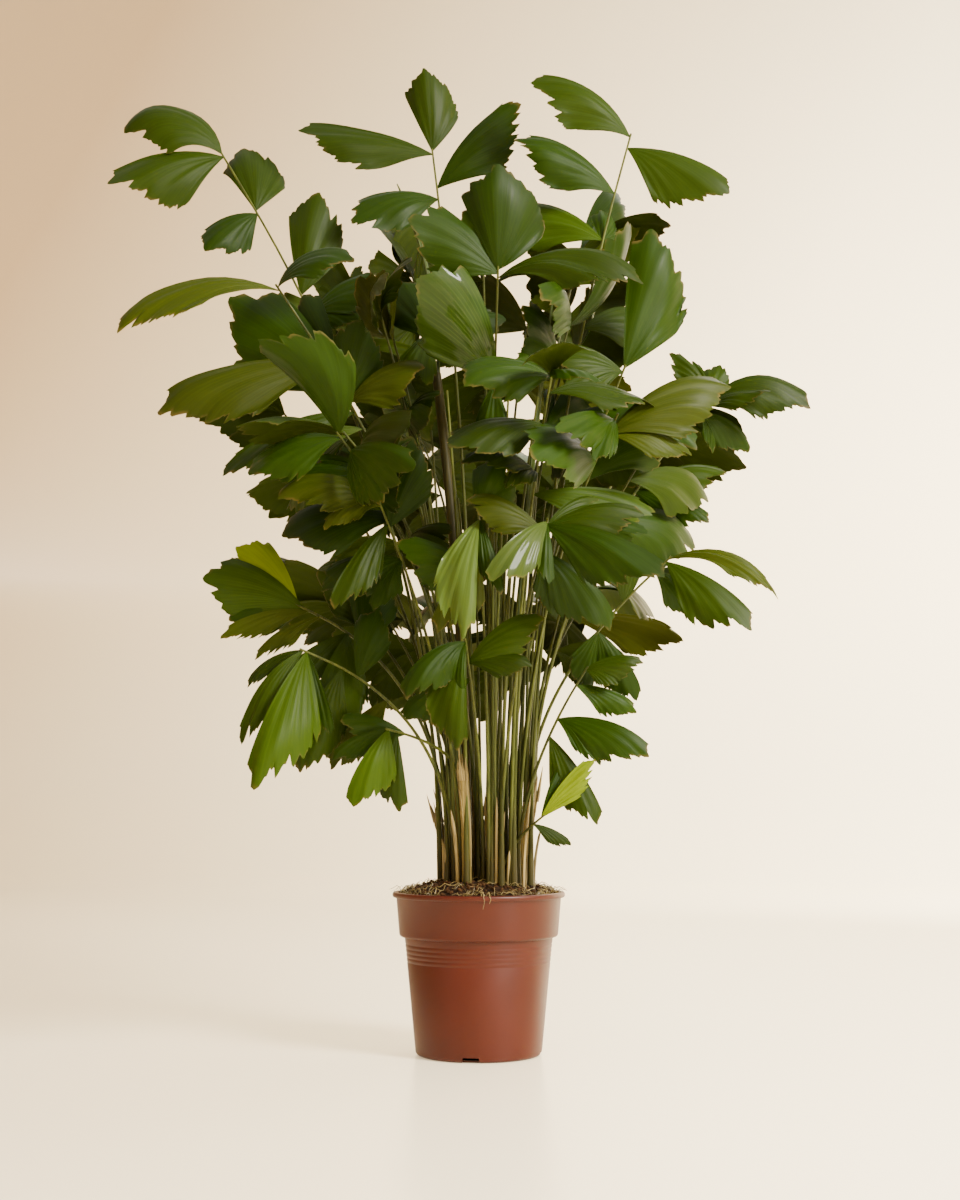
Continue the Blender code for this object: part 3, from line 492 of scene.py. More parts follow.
def grid_spots():
    """Places for feet on the soil's level top, nearest to the clump's middle first."""
    spots = []
    steps = int(CLUMP_RADIUS / SPOT_STEP) + 2
    for row in range(-steps, steps + 1):
        for column in range(-steps, steps + 1):
            offset = Vector(((column + 0.5 * (row % 2)) * SPOT_STEP, row * SPOT_STEP * math.sqrt(0.75), 0.0))
            if offset.length <= CLUMP_RADIUS:
                spots.append(CLUMP_CENTRE + offset)
    spots.sort(key=lambda spot: (round((spot - CLUMP_CENTRE).length, 5), spot.y, spot.x))
    return spots


def cane_solid(foot, top, radius, grow=0.0):
    path = stalk_path(foot, top, CANE_PARTS)
    radii = [radius * (1 + CANE_SWELL * (step % 2)) + grow for step in range(CANE_PARTS + 1)]
    return tube(path, radii, CANE_SIDES, level=True)


def grow_canes(spots, space):
    """Canes round the clump's middle, and the seats that their flat tops give to stalks."""
    canes = []
    seats = []
    for count in range(CANE_COUNT):
        reach = CLUMP_RADIUS * CANE_CIRCLE * math.sqrt((count + 0.6) / CANE_COUNT)
        wish = CLUMP_CENTRE + unit(CANE_TURN * count) * reach
        foot = min(spots, key=lambda spot: (spot - wish).length)
        spots.remove(foot)
        outward = foot - CLUMP_CENTRE
        height = CANE_LOW + (CANE_HIGH - CANE_LOW) * ((count * 7) % CANE_COUNT) / CANE_COUNT
        top = foot + outward * CANE_LEAN
        top.z = height
        solid = cane_solid(foot, top, CANE_RADIUS)
        space.add("cane", cane_solid(foot, top, CANE_RADIUS, CLEARANCE))
        canes.append(("cane_%d" % (count + 1), solid))
        lean = math.degrees(math.atan2(outward.y, outward.x))
        seats += seats_on(top, lean, SEATS_ON_A_CANE)
    return canes, seats


def seats_on(top, lean, count):
    return [top + Vector((0.0, 0.0, GAP)) + unit(lean + 360 * place / count) * SEAT_OFFSET
            for place in range(count)]


def foot_wish(tip):
    """Where a stalk would like to stand: towards the side that it leans to."""
    lean = Vector((tip.x - CLUMP_CENTRE.x, tip.y - CLUMP_CENTRE.y, 0.0)) / LEAN_SPREAD
    return CLUMP_CENTRE + lean * (CLUMP_RADIUS / math.sqrt(1 + lean.length_squared))


def stand(frond, radius, seats, space):
    """The path of a stalk from the nearest free seat on which it keeps clear of all others."""
    tip = Vector(frond.tip)
    wish = foot_wish(tip)
    nearest = sorted(seats, key=lambda seat: ((seat - wish).xy.length, seat.z))
    for seat in nearest[:SEATS_TRIED]:
        for bend in STALK_BENDS:
            path = stalk_path(seat, tip, STALK_PARTS, bend, frond.sag)
            if space.clear(stalk_solid(path, radius, CLEARANCE)):
                seats.remove(seat)
                return path
    raise RuntimeError(frond.name + " finds no free foot")


def place_leaflets(frond, path, space):
    """The frond's leaflets that keep clear of everything placed before them."""
    blades = []
    neck_distance = 0.0
    for place, leaflet in enumerate(frond.leaflets):
        neck_distance = max(leaflet.below + FIRST_NECK, neck_distance + NECK_STEP)
        neck, rib, share = along_rib(path, neck_distance)
        for change in TRIES:
            if isinstance(leaflet, SideLeaflet):
                blade = whorl_blade(leaflet, neck, rib, stalk_radius(share), change)
            else:
                blade = front_blade(leaflet, neck, stalk_radius(share), change)
            whole = blade_solid(blade, CLEARANCE)
            free = blade_solid(blade, CLEARANCE, 1)
            if in_crown(whole[0]) and space.clear(whole, frond.name, free):
                space.add(frond.name, whole, free)
                blades.append((place, neck_distance, blade))
                break
    return blades


def in_crown(points):
    """Whether points stay over the pot's rim and within the crown's reach."""
    return all(point.z > CROWN_FOOT and point.xy.length < CROWN_REACH for point in points)


class SideLeaflet(NamedTuple):
    """A leaflet that grows by rule, with its directions about the rib and its angles in degrees."""
    below: float
    side: int           # 1 and -1 for the rib's two sides, 0 on from its tip
    outward: Vector
    length: float
    spread: float
    angle: float        # away from the rib
    lift: float         # how far it points below that
    tilt: float         # 0 lies level, 90 faces outward
    droop: float


def whorl_blade(leaflet, neck, rib, neck_radius, change):
    """A side leaflet leaves the rib at an angle and faces up and outward."""
    sideways = leaflet.outward.cross(Vector((0.0, 0.0, 1.0))) * leaflet.side
    angle = math.radians(leaflet.angle + change[0])
    lift = math.radians(leaflet.lift + change[1])
    along = (rib * math.cos(angle) + sideways * math.sin(angle)).normalized()
    along = (along - Vector((0.0, 0.0, math.sin(lift)))).normalized()
    tilt = math.radians(leaflet.tilt + change[2])
    upper = Vector((0.0, 0.0, math.cos(tilt))) + leaflet.outward * math.sin(tilt)
    return lay_blade(leaflet, neck, along, upper, neck_radius)


def whorl_leaflets(outward, rib_length, chance):
    """A leaflet on from the tip, then pairs down the rib, each a little different from the last."""
    leaflets = []
    for pair in range(int(rib_length / PAIR_STEP)):
        for side in (0, 1, -1) if pair == 0 else (1, -1):
            below = (pair + (PAIR_OFFSET if side < 0 else 0.0)) * PAIR_STEP
            size = chance.uniform(*SIDE_LENGTHS) * (1 - PAIR_SHRINK * pair)
            angle = chance.uniform(*SIDE_ANGLES) if side else TIP_ANGLE
            leaflets.append(SideLeaflet(below, side, outward, size, chance.uniform(*SIDE_SPREADS), angle,
                                        chance.uniform(*SIDE_LIFTS), chance.uniform(*SIDE_TILTS),
                                        chance.uniform(*SIDE_DROOPS)))
    return tuple(leaflets)


def whorl_fronds():
    """Fronds of the sides and the back, worked out from the whorls' heights and reaches."""
    chance = random.Random(WHORL_SEED)
    fronds = []
    for name, count, height, reach, first, last, rib_length in WHORLS:
        for place in range(count):
            azimuth = first + (last - first) * (place + 0.5) / count + chance.uniform(*AZIMUTH_PLAY)
            outward = unit(azimuth)
            tip = outward * reach * chance.uniform(*REACH_PLAY)
            tip.z = height + chance.uniform(*HEIGHT_PLAY)
            leaflets = whorl_leaflets(outward, rib_length, chance)
            fronds.append(Frond("%s_%d" % (name, place + 1), tuple(tip), "", leaflets,
                                chance.uniform(*SAG_PLAY)))
    return fronds


# Fine shapes

BLADE_RAYS = 48
BLADE_ROWS = 12
ROW_CROWDING = 1.3          # the rows lie closer together towards the outer edge
BLADE_SKIN = 0.0007
BLADES_IN_A_PIECE = 64
PLEATS = 6
PLEAT_HEIGHT = 0.0008
WAVE = 0.060
LOBES = (5, 12, 0.02, 0.12)         # least and most rays, least and most depth
TEETH = (1, 4, 0.008, 0.040)
TAIL = 0.045
TAIL_WIDTH = 0.25
TAIL_BITES = 0.25
SLANT = 0.02
UNDERSIDE = 2.0             # the map of the under side lies this far above the upper side's
STALK_DETAIL = 4
STALK_FINE_SIDES = 8
SHEATH_SHARE = 0.15
SHEATH_SWELL = 0.75
SPEAR_FINE_SIDES = 16
SPEAR_VALLEY = 0.72
CANE_FINE_SIDES = 16
CANE_RINGS = 36
CANE_RING_STEP = 0.034
CULM_RING_STEP = 0.09
RING_SWELL = 0.07
RING_NARROWNESS = 7
GRAIN_SWELL = 0.13
GRAIN_ROUND = 3.1
GRAIN_UP = 9
FIBRES_ON_A_CANE = 18
FIBRE_STEPS = 12
SPLITS_ON_A_CANE = 9
SPLIT_SEAT = 0.93
SPLIT_TAPER = (1, 1, 0.75, 0.45, 0.10)
STUBS = 40
STUB_STEPS = 6
INNER_STALKS = 34
STALK_SEED = 21
LEAF_SEED = 5
TWIN_SHARE = 0.55
HIDDEN_TWIN_SHARE = 0.65
TWIN_TOP = 1.36

# Leaf finishes by letter: name, upper side, under side, veins, share of browned edge and clear coat. The
# leaves' own greens differ, and some finishes also hold painted light: the light yellow-green ones, fresh and
# yellow, stand in for light shining through the thin blades, set against dark green ones.
LEAF_LOOKS = {
    "d": ("dark", (0.0082, 0.0205, 0.0001), (0.0155, 0.0245, 0.0003), (0.018, 0.038, 0.0003), 0.35, 0.0),
    "m": ("mid", (0.0108, 0.0212, 0.0001), (0.0170, 0.0265, 0.0006), (0.025, 0.047, 0.0005), 0.35, 0.0),
    "o": ("olive", (0.0200, 0.0290, 0.0004), (0.0290, 0.0350, 0.0015), (0.042, 0.052, 0.003), 0.35, 0.0),
    "f": ("fresh", (0.0165, 0.0330, 0.0002), (0.0250, 0.0400, 0.0008), (0.038, 0.068, 0.001), 0.35, 0.0),
    "y": ("yellow", (0.072, 0.105, 0.001), (0.074, 0.098, 0.001), (0.115, 0.145, 0.002), 0.35, 0.0),
    "p": ("pale", (0.030, 0.050, 0.006), (0.038, 0.054, 0.010), (0.062, 0.088, 0.018), 0.3, 0.1),
    "g": ("glossy", (0.0140, 0.0320, 0.0004), (0.0210, 0.0320, 0.0015), (0.046, 0.074, 0.007), 0.3, 0.20),
}
HIDDEN_FINISHES = "dmof"
HIDDEN_WEIGHTS = (46, 38, 8, 8)
TWIN_FINISHES = "mo"        # a second leaflet of any other finish is dark


class Heap:
    """Points and faces of many small shapes gathered for one piece, with a map and a tone for each point."""

    def __init__(self):
        self.points = []
        self.faces = []
        self.maps = []
        self.tones = []

    def add(self, points, faces, maps=None, tone=0.5):
        start = len(self.points)
        self.points += [tuple(point) for point in points]
        self.faces += [tuple(start + corner for corner in face) for face in faces]
        self.maps += maps or [(0.0, 0.0)] * len(points)
        self.tones += [tone] * len(points)

    def piece(self, name, finish, smooth_up_to=60):
        mesh = bpy.data.meshes.new(name)
        mesh.from_pydata(self.points, [], self.faces)
        corners = numpy.empty(len(mesh.loops), dtype=numpy.int32)
        mesh.loops.foreach_get("vertex_index", corners)
        layer = mesh.uv_layers.new(name="leaf")
        layer.data.foreach_set("uv", numpy.array(self.maps, dtype=numpy.float32)[corners].ravel())
        tone = mesh.attributes.new("tone", "FLOAT", "POINT")
        tone.data.foreach_set("value", numpy.array(self.tones, dtype=numpy.float32))
        mesh.update()
        made = linked(name, mesh)
        finish_mesh(made, finish, smooth_up_to)
        return made


def linked(name, data):
    made = bpy.data.objects.new(name, data)
    bpy.context.scene.collection.objects.link(made)
    return made


def finish_mesh(made, finish, smooth_up_to):
    made.data.materials.clear()
    made.data.materials.append(finish)
    made.data.shade_smooth()
    made.data.set_sharp_from_angle(angle=math.radians(smooth_up_to))


def margin_bites(chance, peak):
    """How deep the outer edge is bitten at each ray, as a share of the reach.

    Lobes and small teeth lie one over the other, and the whole edge slants away from the tail at the peak.
    """
    bites = [0.0] * (BLADE_RAYS + 1)
    for narrow, wide, shallow, deep in (LOBES, TEETH):
        ray = -chance.randint(0, narrow)
        while ray <= BLADE_RAYS:
            width = chance.randint(narrow, wide)
            depth = chance.uniform(shallow, deep)
            for step in range(width):
                if 0 <= ray + step <= BLADE_RAYS:
                    bites[ray + step] += depth * (1 - step / width) ** 1.5
            ray += width
    for ray in range(BLADE_RAYS + 1):
        across = 2 * ray / BLADE_RAYS - 1
        away = min(1.0, abs(across - peak) / TAIL_WIDTH)
        slant = SLANT * max(0.0, peak - across) / (1 + peak)
        bites[ray] = bites[ray] * (TAIL_BITES + (1 - TAIL_BITES) * away) + TAIL * away + slant
    return bites


def fine_blade(blade, chance):
    """A thin closed leaflet: pleated along its rays, a little wavy, with a bitten outer edge."""
    bites = margin_bites(chance, blade_peak(blade))
    seed = chance.uniform(0, 50)
    points = []
    maps = []
    for skin in (0, 1):
        for row in range(BLADE_ROWS + 1):
            share = 1 - (1 - row / BLADE_ROWS) ** ROW_CROWDING
            outer = max(0.0, (share - 0.5) / 0.5) ** 1.5
            for ray in range(BLADE_RAYS + 1):
                across = 2 * ray / BLADE_RAYS - 1
                point, normal = blade_point(blade, share, across, bites[ray] * outer)
                wave = noise.noise(Vector((across * 1.6, share * 2.0, seed))) * WAVE * blade.length * share
                pleat = PLEAT_HEIGHT * math.sin(math.pi * PLEATS * across) * share * (1.4 - share)
                points.append(point + normal * (wave + pleat - skin * BLADE_SKIN))
                maps.append(((across + 1) / 2, share + UNDERSIDE * skin))
    return points, blade_faces(blade), maps


def blade_faces(blade):
    """Faces of two skins and of the narrow band that closes them all round."""
    width = BLADE_RAYS + 1
    other = (BLADE_ROWS + 1) * width
    faces = []
    for row in range(BLADE_ROWS):
        for ray in range(BLADE_RAYS):
            near = row * width + ray
            far = near + width
            faces.append((near, far, far + 1, near + 1))
            faces.append((other + near, other + near + 1, other + far + 1, other + far))
    for row in range(BLADE_ROWS):
        left = row * width
        right = left + BLADE_RAYS
        faces.append((left + width, left, other + left, other + left + width))
        faces.append((right, right + width, other + right + width, other + right))
    last = BLADE_ROWS * width
    for ray in range(BLADE_RAYS):
        faces.append((last + ray + 1, last + ray, other + last + ray, other + last + ray + 1))
        faces.append((ray, ray + 1, other + ray + 1, other + ray))
    if blade.normal.cross(blade.along).z < LOW_SIDE:
        faces = [tuple(reversed(face)) for face in faces]
    return faces


def twin_blade(blade, chance):
    """A smaller leaflet from the same neck, turned aside and a little below the first."""
    turn = Matrix.Rotation(math.radians(chance.choice((-1, 1)) * chance.uniform(22, 40)), 3, blade.normal)
    side = blade.normal.cross(blade.along)
    dip = Matrix.Rotation(math.radians(chance.uniform(6, 16)), 3, side)
    return blade._replace(along=dip @ turn @ blade.along, normal=dip @ blade.normal,
                          length=blade.length * chance.uniform(0.55, 0.8),
                          spread=blade.spread * chance.uniform(0.65, 0.95))


def smooth_path(path):
    """The same path with points added on a smooth curve through its own."""
    smooth = []
    for step in range(len(path) - 1):
        before = path[max(step - 1, 0)]
        start, end = path[step], path[step + 1]
        after = path[min(step + 2, len(path) - 1)]
        for part in range(STALK_DETAIL):
            t = part / STALK_DETAIL
            smooth.append(0.5 * (2 * start + (end - before) * t
                                 + (2 * before - 5 * start + 4 * end - after) * t ** 2
                                 + (3 * start - before - 3 * end + after) * t ** 3))
    smooth.append(path[-1].copy())
    return smooth


def fine_stalk(path):
    """A slender stalk with a sheath that widens at its foot."""
    return tube(path, [stalk_radius(share) * (1 + SHEATH_SWELL * max(0.0, 1 - share / SHEATH_SHARE) ** 0.7)
                       for share in shares(path)], STALK_FINE_SIDES)


def fine_spear(path):
    """A folded blade: its section is a star of shallow pleats."""
    points, faces = tube(path, [spear_radius(share) for share in shares(path)], SPEAR_FINE_SIDES)
    for place, centre in enumerate(path):
        for number in range(place * SPEAR_FINE_SIDES, (place + 1) * SPEAR_FINE_SIDES, 2):
            points[number] = centre + (points[number] - centre) * SPEAR_VALLEY
    return points, faces


def fine_cane(foot, top, radius, seed, ring_step):
    """A cane with leaf-scar rings and upright fibres in relief."""
    path = stalk_path(foot, top, CANE_RINGS)
    points, faces = tube(path, [radius] * len(path), CANE_FINE_SIDES, level=True)
    for place, centre in enumerate(path):
        height = centre.z / ring_step
        ring = RING_SWELL * max(0.0, 1 - abs(height - round(height)) * RING_NARROWNESS)
        for side in range(CANE_FINE_SIDES):
            number = place * CANE_FINE_SIDES + side
            round_spot = unit(360 * side / CANE_FINE_SIDES) * GRAIN_ROUND
            grain = noise.noise(round_spot + Vector((0.0, 0.0, centre.z * GRAIN_UP + seed)))
            points[number] = centre + (points[number] - centre) * (1 + ring + GRAIN_SWELL * grain)
    return points, faces


def strand(path, width):
    """A thin fibre that narrows to its end."""
    return tube(path, [width * (1 - 0.6 * share) for share in shares(path)], 3)


def cane_fibres(heap, foot, top, radius, chance):
    """Old sheath fibres that cling to a cane, and stand away from it a little at their tops."""
    path = stalk_path(foot, top, FIBRE_STEPS)
    for _ in range(FIBRES_ON_A_CANE):
        turn = chance.uniform(0, 360)
        twist = chance.uniform(-60, 60)
        first = chance.randint(0, 5)
        last = chance.randint(first + 4, FIBRE_STEPS)
        line = []
        for place in range(first, last + 1):
            share = (place - first) / (last - first)
            stand_off = radius * (1.04 + 0.5 * max(0.0, share - 0.75) * chance.uniform(0, 3))
            line.append(path[place] + unit(turn + twist * share) * stand_off)
        heap.add(*strand(line, chance.uniform(0.0004, 0.0009)), tone=chance.random())


def split_top(heap, foot, top, radius, chance):
    """Torn points of the old sheath, which stand up around a cane's cut top."""
    below, end = stalk_path(foot, top, FIBRE_STEPS)[-2:]
    along = (end - below).normalized()
    for number in range(SPLITS_ON_A_CANE):
        outward = unit(360 * (number + chance.uniform(-0.4, 0.4)) / SPLITS_ON_A_CANE) * radius
        rise = chance.uniform(0.010, 0.048)
        flare = chance.uniform(0.82, 1.15) - SPLIT_SEAT
        line = [below + outward * SPLIT_SEAT]
        line += [end + along * rise * part / 3 + outward * (SPLIT_SEAT + flare * part / 3) for part in range(4)]
        width = chance.uniform(0.0020, 0.0034)
        heap.add(*tube(line, [width * share for share in SPLIT_TAPER], 5), tone=chance.random())


def clump_foot(chance, reach):
    """A way outward, and a foot inside the clump on that side."""
    outward = unit(chance.uniform(0, 360))
    return outward, CLUMP_CENTRE + outward * CLUMP_RADIUS * reach * math.sqrt(chance.random())


def inner_stalk(chance):
    """A stalk inside the clump whose top is lost among the leaves."""
    outward, foot = clump_foot(chance, 0.94)
    rise = chance.uniform(0.40, 0.78)
    top = foot + outward * chance.uniform(0.02, 0.14) + Vector((0.0, 0.0, rise))
    return fine_stalk(stalk_path(foot, top, STALK_DETAIL * STALK_PARTS))


def old_stub(heap, chance):
    """What is left of an old leaf: a short tan stub that splits off between the stalks."""
    outward, foot = clump_foot(chance, 0.92)
    height = chance.uniform(0.05, 0.16)
    lean = chance.uniform(0.02, 0.16)
    line = [foot + Vector((0.0, 0.0, -0.004 + height * share)) + outward * lean * height * share ** 2
            for share in (step / STUB_STEPS for step in range(STUB_STEPS + 1))]
    width = chance.uniform(0.0022, 0.0042)
    radii = [width * (1 - 0.25 * share) for share in shares(line)]
    radii[-1] = width * 0.12
    heap.add(*tube(line, radii, 6), tone=chance.random())


# Working in edit mode

def only(made):
    bpy.ops.object.select_all(action="DESELECT")
    made.select_set(True)
    bpy.context.view_layer.objects.active = made


def spun(name, outline, sides):
    """A turned piece: an outline of radii and heights spun once round the upright axis and closed."""
    mesh = bpy.data.meshes.new(name)
    mesh.from_pydata([(radius, 0.0, height) for radius, height in outline],
                     [(place, place + 1) for place in range(len(outline) - 1)], [])
    made = linked(name, mesh)
    only(made)
    bpy.ops.object.mode_set(mode="EDIT")
    bpy.ops.mesh.select_all(action="SELECT")
    bpy.ops.mesh.spin(steps=sides, angle=2 * math.pi, center=(0, 0, 0), axis=(0, 0, 1))
    bpy.ops.mesh.select_all(action="SELECT")
    bpy.ops.mesh.remove_doubles(threshold=0.00001)
    bpy.ops.mesh.normals_make_consistent(inside=False)
    bpy.ops.object.mode_set(mode="OBJECT")
    return made


def arc(parts, first=0.0):
    """The sine and cosine of a turn that runs up to a quarter in even parts."""
    for part in range(parts + 1):
        turn = first + (math.pi / 2 - first) * part / parts
        yield math.sin(turn), math.cos(turn)


# Pot and soil

POT_FINE_SIDES = 128
POT_RINGS = (0.142, 0.149, 0.156, 0.163, 0.170)
POT_RING = ((-0.0016, 0.0), (-0.0006, 0.0005), (0.0006, 0.0005), (0.0016, 0.0))     # heights and depths
UNDER_HOLLOW = 0.0012
STEP_ROUNDING = 0.0008
LIP_ROLL = 0.0022


def fine_pot_outline():
    """Up the outer side, with faint rings under the step, round the lip and down the inner side."""
    base = BASE_RADIUS + BASE_CORNER
    under_lip = POT_HEIGHT - LIP_DEPTH
    fine = [(0.0, UNDER_HOLLOW), (BASE_RADIUS - 0.014, UNDER_HOLLOW), (BASE_RADIUS - 0.011, 0.0)]
    fine += [(BASE_RADIUS + BASE_CORNER * sine, BASE_CORNER * (1 - cosine)) for sine, cosine in arc(6)]
    for ring in POT_RINGS:
        for offset, depth in POT_RING:
            share = (ring + offset - BASE_CORNER) / (STEP_HEIGHT - BASE_CORNER)
            fine.append((base + (STEP_RADIUS - base) * share - depth, ring + offset))
    fine += [(STEP_RADIUS, STEP_HEIGHT - STEP_ROUNDING), (STEP_RADIUS + STEP_ROUNDING, STEP_HEIGHT)]
    fine += [(COLLAR_FOOT_RADIUS - COLLAR_CORNER * (1 - sine), STEP_HEIGHT + COLLAR_CORNER * (1 - cosine))
             for sine, cosine in arc(5)]
    fine += [(COLLAR_TOP_RADIUS - 0.0002, under_lip - 0.0015), (COLLAR_TOP_RADIUS + 0.001, under_lip)]
    fine += [(LIP_RADIUS - LIP_ROLL * (1 - cosine), under_lip + LIP_DEPTH / 2 * (1 + sine))
             for sine, cosine in arc(8, -math.pi / 2)]
    return fine + pot_inside()


def dress_pot(finish):
    pot = spun("pot_shell", fine_pot_outline(), POT_FINE_SIDES)
    for count in range(NOTCHES):
        cutter = notch_block(NOTCH_TURN + 2 * math.pi * count / NOTCHES)
        cut = pot.modifiers.new("notch", "BOOLEAN")
        cut.operation = "DIFFERENCE"
        cut.solver = "EXACT"
        cut.object = cutter
        only(pot)
        bpy.ops.object.modifier_apply(modifier=cut.name)
        bpy.data.objects.remove(cutter, do_unlink=True)
    finish_mesh(pot, finish, 35)
    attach(pot, "root")
    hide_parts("pot")


def notch_block(turn):
    """A block, narrower above, that opens a drainage notch through the base's corner."""
    bpy.ops.object.select_all(action="DESELECT")
    bpy.ops.mesh.primitive_cube_add(size=1.0, location=(0, 0, 0))
    block = bpy.context.object
    inside = BASE_RADIUS - NOTCH_DEPTH
    for vertex in block.data.vertices:
        upper = vertex.co.z > 0
        width = NOTCH_WIDTH - (2 * NOTCH_SLANT if upper else 0.0)
        vertex.co = Vector((inside if vertex.co.x < 0 else STEP_RADIUS,
                            math.copysign(width / 2, vertex.co.y),
                            NOTCH_HEIGHT if upper else -NOTCH_HEIGHT))
    block.data.transform(Matrix.Rotation(turn, 4, "Z"))
    return block


SOIL_FINE_SIDES = 96
SOIL_RINGS = 34
SOIL_FOOT = 0.20
SOIL_SEED = 23
CRUMBS = 900
CRUMB_SIZES = (0.0010, 0.0034)
SOIL_FIBRES = 260
SOIL_FIBRE_LENGTHS = (0.012, 0.045)
SOIL_FIBRE_WIDTHS = (0.0003, 0.0008)
# A rootlet's points over the rim: turn, way out from the lip's edge, height over the rim and share of the drop
ROOTLET = ((0, -0.012, 0.006, 0), (0, -0.004, 0.003, 0), (0, 0.0012, -0.001, 0),
           (0.6, 0.0014, 0, 0.4), (-0.3, 0.0012, 0, 1))
ROOTLET_WIDTH = 0.0009
ROOTLETS = ((-87, 0.019), (-83, 0.011))


def soil_height(x, y):
    """The soil's top: a mound over the pot's rim, higher at the left, with crumbs and hollows."""
    radius = math.hypot(x, y)
    edge = COLLAR_TOP_RADIUS - WALL
    mound = (SOIL_TOP - SOIL_EDGE_HEIGHT) * (1 - (radius / edge) ** 5)
    rise = 0.006 * math.exp(-((x + 0.02) ** 2 + (y + 0.03) ** 2) / 0.004)
    coarse = noise.noise(Vector((x * 45, y * 45, 3.0))) * 0.0035
    fine = noise.noise(Vector((x * 140, y * 140, 7.0))) * 0.0022
    return SOIL_EDGE_HEIGHT + mound + rise + coarse + fine


def dress_soil(finish, crumb_finish, fibre_finish):
    (mouth, _), (collar, _) = pot_inside()[:2]
    edge = mouth - 4 * GAP
    outline = [(0.0, SOIL_FOOT), (collar - 4 * GAP, SOIL_FOOT), (edge, SOIL_EDGE_HEIGHT - 0.004)]
    outline += [(edge * (1 - ring / SOIL_RINGS), SOIL_EDGE_HEIGHT) for ring in range(SOIL_RINGS + 1)]
    soil = spun("soil_mound", outline, SOIL_FINE_SIDES)
    for vertex in soil.data.vertices:
        if vertex.co.z > SOIL_EDGE_HEIGHT - 0.001:
            vertex.co.z = soil_height(vertex.co.x, vertex.co.y)
    finish_mesh(soil, finish, 60)
    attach(soil, "root")
    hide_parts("soil")

    chance = random.Random(SOIL_SEED)
    made = gather_crumbs(edge, chance).piece("soil_crumbs", crumb_finish, 20)
    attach(made, "root")

    made = gather_soil_fibres(edge, chance).piece("soil_fibres", fibre_finish)
    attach(made, "root")


def gather_crumbs(edge, chance):
    """Bark crumbs of all turns and sizes on the soil."""
    bpy.ops.object.select_all(action="DESELECT")
    bpy.ops.mesh.primitive_ico_sphere_add(subdivisions=1, radius=1.0, location=(0, 0, 0))
    pattern = bpy.context.object
    corners = [vertex.co.copy() for vertex in pattern.data.vertices]
    faces = [tuple(face.vertices) for face in pattern.data.polygons]
    bpy.data.objects.remove(pattern, do_unlink=True)
    crumbs = Heap()
    for _ in range(CRUMBS):
        spot = unit(chance.uniform(0, 360)) * edge * math.sqrt(chance.random()) * 0.985
        size = chance.uniform(*CRUMB_SIZES)
        turn = Matrix.Rotation(chance.uniform(0, 6.28), 3, Vector((chance.random(), chance.random(), 1.0)))
        stretch = Vector((chance.uniform(0.7, 2.4), 1.0, chance.uniform(0.4, 0.9)))
        centre = Vector((spot.x, spot.y, soil_height(spot.x, spot.y) + size * 0.3))
        crumbs.add([centre + turn @ Vector([corner[axis] * stretch[axis] * size * chance.uniform(0.75, 1.2)
                                            for axis in range(3)]) for corner in corners],
                   faces, tone=chance.random())
    return crumbs


def gather_soil_fibres(edge, chance):
    """Fibres that lie on the soil, a third of them at the rim, and pale rootlets that hang over it."""
    fibres = Heap()
    for count in range(SOIL_FIBRES):
        near_rim = count % 3 == 0
        reach = edge * (chance.uniform(0.9, 1.0) if near_rim else math.sqrt(chance.random()) * 0.97)
        azimuth = chance.uniform(0, 360)
        lean = chance.uniform(0, 360)
        length = chance.uniform(*SOIL_FIBRE_LENGTHS)
        line = []
        for share in (step / 6 for step in range(7)):
            spot = unit(azimuth) * reach + unit(lean + 70 * share) * length * (share - 0.3)
            lift = 0.0015 + 0.008 * math.sin(math.pi * share) * chance.random()
            height = soil_height(spot.x, spot.y) if spot.length < edge else POT_HEIGHT + 0.0005
            line.append(Vector((spot.x, spot.y, height + lift)))
        fibres.add(*strand(line, chance.uniform(*SOIL_FIBRE_WIDTHS)), tone=chance.random())
    for azimuth, drop in ROOTLETS:
        line = [unit(azimuth + turn) * (LIP_RADIUS + out) + Vector((0, 0, POT_HEIGHT + height - share * drop))
                for turn, out, height, share in ROOTLET]
        fibres.add(*strand(smooth_path(line), ROOTLET_WIDTH), tone=0.95)
    return fibres


# Shaders

GREEN = (0.05, 0.1, 0.01, 1.0)
BROWNED = (0.15, 0.085, 0.03, 1.0)
VEIN_WAVES = 150.0
LEAF_STREAKS = (44.0, 2.2, 37.0)
STEM_STREAKS = (110.0, 110.0, 7.0)
STEM_FIBRES = (420.0, 420.0, 16.0)


def compute(tree, operation, *values, clamp=False):
    made = tree.nodes.new("ShaderNodeMath")
    made.operation = operation
    made.use_clamp = clamp
    feed(tree, made.inputs, values)
    return made.outputs[0]


def feed(tree, sockets, values):
    """Each socket is set to its value, or linked where the value is another socket."""
    for socket, value in zip(sockets, values):
        if isinstance(value, bpy.types.NodeSocket):
            tree.links.new(value, socket)
        else:
            socket.default_value = value


def times(tree, one, other, clamp=False):
    return compute(tree, "MULTIPLY", one, other, clamp=clamp)


def scaled(tree, value, factor, shift=0.0, clamp=False):
    """A value times a factor, plus a shift."""
    return compute(tree, "MULTIPLY_ADD", value, factor, shift, clamp=clamp)


def ramp(tree, value, start, steepness):
    """From 0 at the start up to 1, the quicker the steeper."""
    return scaled(tree, value, steepness, -start * steepness, clamp=True)


def blend(tree, factor, one, other, kind="MIX"):
    made = tree.nodes.new("ShaderNodeMix")
    made.data_type = "RGBA"
    made.blend_type = kind
    feed(tree, (made.inputs[0], made.inputs[6], made.inputs[7]), (factor, one, other))
    return made.outputs[2]


def cloud(tree, place, scale=1.0, detail=3.0):
    made = tree.nodes.new("ShaderNodeTexNoise")
    feed(tree, (made.inputs["Vector"], made.inputs["Scale"], made.inputs["Detail"]), (place, scale, detail))
    return made.outputs[0]


def object_place(tree):
    return tree.nodes.new("ShaderNodeTexCoord").outputs["Object"]


